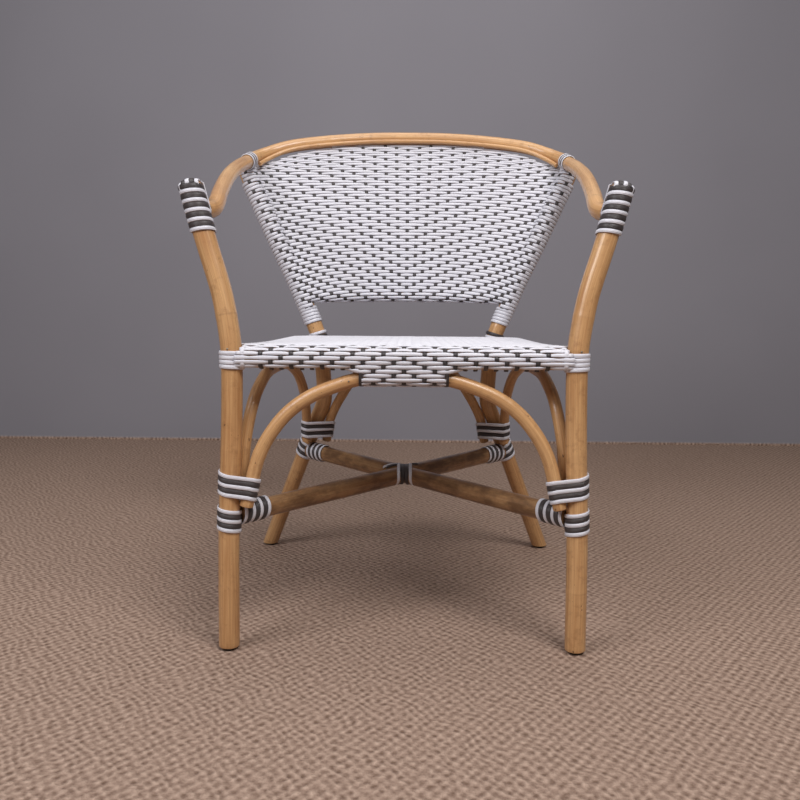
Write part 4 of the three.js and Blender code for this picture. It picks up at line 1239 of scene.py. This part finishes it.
# ---------------- small things
def make_fist_strands(name, side):
    """Strands laid side by side over the top of each arm tip, and two down its inner back edge."""
    post = front_post[name]
    end = post.length - 2.6
    top, way = post.at_run(end), post.heading(1)
    back, inner = across(way, BACKWARD), across(way, Vector((-side, 0, 0)))
    pieces = {colour: Piece(name + "_arm_tip_top_" + colour) for colour in strands}
    for index, offset in enumerate((-11.6, -5.9, 0, 5.9, 11.6)):
        half = sqrt(16.3 ** 2 - offset ** 2)
        crown = 1.5 - 0.02 * offset ** 2
        path = []
        for step in range(-10, 11):
            turn = min(max(step / 6, -1), 1) * pi / 2
            below = max(0, abs(step) - 6) * 2.2
            fan = 1 + 0.05 * cos(turn)
            path.append((
                top + back * (half * sin(turn) * (1 - 0.012 * below))
                + way * (crown - 6.2 + 6.2 * cos(turn) ** 0.7 - below) + inner * offset * fan,
                (way * max(cos(turn), 0.02) + back * sin(turn) + inner * offset * 0.035).normalized()))
        draw_strand(pieces["dark" if index % 2 else "white"], path, 6.7 if index % 2 else 6.4, thickness=2.4,
                    tint=index * 0.2)
    for colour, turn, rise in (("white", 0.55, -1.0), ("dark", 0.95, -2.6)):
        out = inner * cos(turn) + back * sin(turn)
        path = [(top + out * (13.6 - 0.5 * rise) - way * 1.0, (out + way).normalized())]
        for step in range(8):
            path.append((post.at_run(end - 5 - step * 6.6)
                         + out * (POST_RADIUS + 3.2 - (1.6 if step == 7 else 0)), out))
        draw_strand(pieces[colour], path, 6.0, thickness=2.2, tint=0.3)
    for colour, piece in pieces.items():
        finish_strand(piece, colour)


def make_seat_corner_locks(name, side):
    """A short white strand over the ends of the seat's front rows, beside each front post."""
    piece = Piece(name + "_seat_corner_lock")
    centre = Vector((side * (seat_post_x(FRONT_RAIL_HEIGHT) - POST_RADIUS - 3), 0, FRONT_RAIL_HEIGHT))
    path = []
    for step in range(19):
        turn = 0.6 + step * 0.1
        under = max(0.0, 1 - (abs(turn - 1.55) / 0.42) ** 2)
        spot, up = rolled(centre, FORWARD, turn, FRONT_TURN + 2.0 - 2.6 * under)
        path.append((Vector((spot.x, max(spot.y, -FRONT_TURN - 1.4), spot.z)), up))
    draw_strand(piece, path, 6.4, thickness=2.0, tint=0.2)
    finish_strand(piece, "white")


def make_post_foot_rings(name, side):
    """A white and a dark strand ring round each rear post where it comes out of the seat."""
    post = rear_post[name]
    for colour, height in zip(("white", "dark") if side < 0 else ("dark", "white"), (453, 446.5)):
        piece = Piece(name + "_post_foot_" + colour + "_ring")
        draw_strand(piece, wound(post.where(2, height), Vector((side * 0.22, 0.1, 1)), BACKWARD,
                                 [(post, POST_RADIUS)], 0, 1.04, 1.2, side), 6.2, tint=0.4)
        finish_strand(piece, colour)


def nail(piece, spot, outward, size=3.0):
    """A small domed nail head."""
    draw_turned(piece, spot, outward.normalized(), NAIL_PROFILE, 10, size)


def make_nails():
    piece = Piece("nails_and_staples")
    for name, side in SIDES.items():
        line, arch = stretcher[name], side_arch[name]
        nail(piece, front_post[name].where(2, 443) + Vector((side * 2, -POST_RADIUS, 0)), FORWARD)
        nail(piece, line.at(0) + line.heading(0) * 22
             + Vector((0, -STRETCHER_RADIUS * 0.7, STRETCHER_RADIUS * 0.72)), Vector((0, -0.7, 0.7)), 2.4)
        nail(piece, arch.at(0.97) + Vector((0, -SLIM_ARCH_RADIUS, 0)), FORWARD, 2.6)
        nail(piece, arch.at(0.62) + Vector((side * SLIM_ARCH_RADIUS, 0, 0)), Vector((side, 0, 0)), 2.6)
    nail(piece, front_arch.where(0, -78) + Vector((0, -FRONT_ARCH_RADIUS, 1)), Vector((0, -1, 0.1)), 2.4)
    piece.finish(dull_wire, "glide")


# ---------------- camera, light and stage
def make_camera():
    pitch, roll, yaw = radians(6.29), radians(0.45), radians(-0.67)
    level = Matrix(((1, 0, 0), (0, 0, -1), (0, 1, 0)))
    right, down, ahead = (Matrix.Rotation(roll, 3, "Z") @ Matrix.Rotation(pitch, 3, "X") @ level
                          @ Matrix.Rotation(yaw, 3, "Z"))
    matrix = Matrix((right, -down, -ahead)).transposed().to_4x4()
    matrix.translation = Vector((0.00939, -1.42515, 0.4975))
    lens = bpy.data.cameras.new("camera")
    lens.sensor_width = 36
    lens.lens = 36 * 805 / 800
    lens.shift_x = -1.0 / 800
    lens.clip_start = 0.02
    camera = placed("camera", lens)
    camera.matrix_world = matrix
    bpy.context.scene.camera = camera


def make_stage():
    """A woven jute rug in front of a plain grey wall."""
    stage = Finish("rug_and_wall")
    split = stage.split(stage.place)
    ragged = stage.mottle(stage.place, size=16, detail=3)
    fuzz = stage.mottle(stage.place, size=130, detail=4)
    soft = stage.mottle(stage.place, size=1.2, detail=2)
    waves = [stage.sine(stage.add(split[axis], stage.times(ragged, 0.03)), scale)
             for axis, scale in (("X", 420), ("Y", 330))]
    rug = stage.add(stage.times(stage.times(*waves), 0.2), fuzz)
    rug_colour = stage.blend(stage.spread(rug, 0.2, 0.85), (0.19, 0.12, 0.088), (0.54, 0.39, 0.31))
    wall_colour = stage.blend(soft, (0.25, 0.24, 0.27), (0.31, 0.30, 0.335))
    colour = stage.blend(stage.spread(split["Z"], 0.004, 0.012), rug_colour, wall_colour)
    stage.surface(Base_Color=colour, Roughness=0.92, Specular_IOR_Level=0.1)
    stage.relief(stage.times(rug, stage.spread(split["Z"], 0.004, 0.012, 1, 0)), 0.8, 0.006)
    work = bmesh.new()
    bmesh.ops.create_grid(work, x_segments=1, y_segments=1, size=3.2)
    bmesh.ops.translate(work, verts=work.verts, vec=(0, -1.58, 0))
    far = [edge for edge in work.edges if all(vertex.co.y > 1.5 for vertex in edge.verts)]
    grown = bmesh.ops.extrude_edge_only(work, edges=far)["geom"]
    bmesh.ops.translate(work, verts=of_kind(grown, bmesh.types.BMVert), vec=(0, 0, 3.6))
    mesh = bpy.data.meshes.new("studio_sweep")
    work.to_mesh(mesh)
    work.free()
    mesh.materials.append(stage.material)
    sweep = placed("studio_sweep", mesh)


def make_lights():
    world = bpy.data.worlds.new("soft_room")
    world.use_nodes = True
    back = world.node_tree.nodes["Background"]
    back.inputs["Color"].default_value = (1.0, 0.99, 0.98, 1)
    back.inputs["Strength"].default_value = 0.08
    bpy.context.scene.world = world
    for name, place, aim, size, power, colour in (
            ("window_lamp", (0.8, -1.6, 2.5), (0, 0, 0.5), (1.1, 1.1), 51, (1.0, 0.98, 0.96)),
            ("fill_lamp", (-1.5, -1.6, 2.0), (0, 0, 0.5), (1.2, 1.2), 35, (0.98, 0.98, 1.0)),
            ("top_lamp", (0.1, 0.2, 2.5), (0, 0.05, 0.4), (1.5, 1.2), 13, (1.0, 0.99, 0.98))):
        light = bpy.data.lights.new(name, "AREA")
        light.shape = "RECTANGLE"
        light.size, light.size_y = size
        light.energy = power
        light.color = colour
        turn = (Vector(aim) - Vector(place)).to_track_quat("-Z", "Y")
        placed(name, light).matrix_world = Matrix.Translation(place) @ turn.to_matrix().to_4x4()


def on_both_sides(*makers):
    for make in makers:
        for name, side in SIDES.items():
            make(name, side)


bpy.context.scene.view_settings.view_transform = "Standard"
make_camera()
make_stage()
make_lights()
on_both_sides(make_posts)
make_arm_and_back_rail()
make_beading()
make_seat_rails()
make_pole("front_arch", front_arch, FRONT_ARCH_RADIUS, (0.12, 0.37, 0.74), 9.1)
on_both_sides(make_side_arch)
make_pole("rear_arch", rear_arch, SLIM_ARCH_RADIUS, (0.2, 0.7), 11.6)
on_both_sides(make_stretcher)
make_pole("lower_back_rod", rod, ROD_RADIUS, (0.4,), 13.9, sides=14, start=POST_SKIN + 0.5,
          end=rod.length - POST_SKIN - 0.5)
on_both_sides(make_glides, make_bindings)
make_crossing_lashing()
make_weave("back", back_row, BACK_ROWS, back_upright, LAST_UPRIGHT)
make_weave("seat", seat_row, SEAT_ROWS, seat_warp, LAST_WARP)
on_both_sides(make_fist_strands, make_seat_corner_locks, make_post_foot_rings)
make_nails()
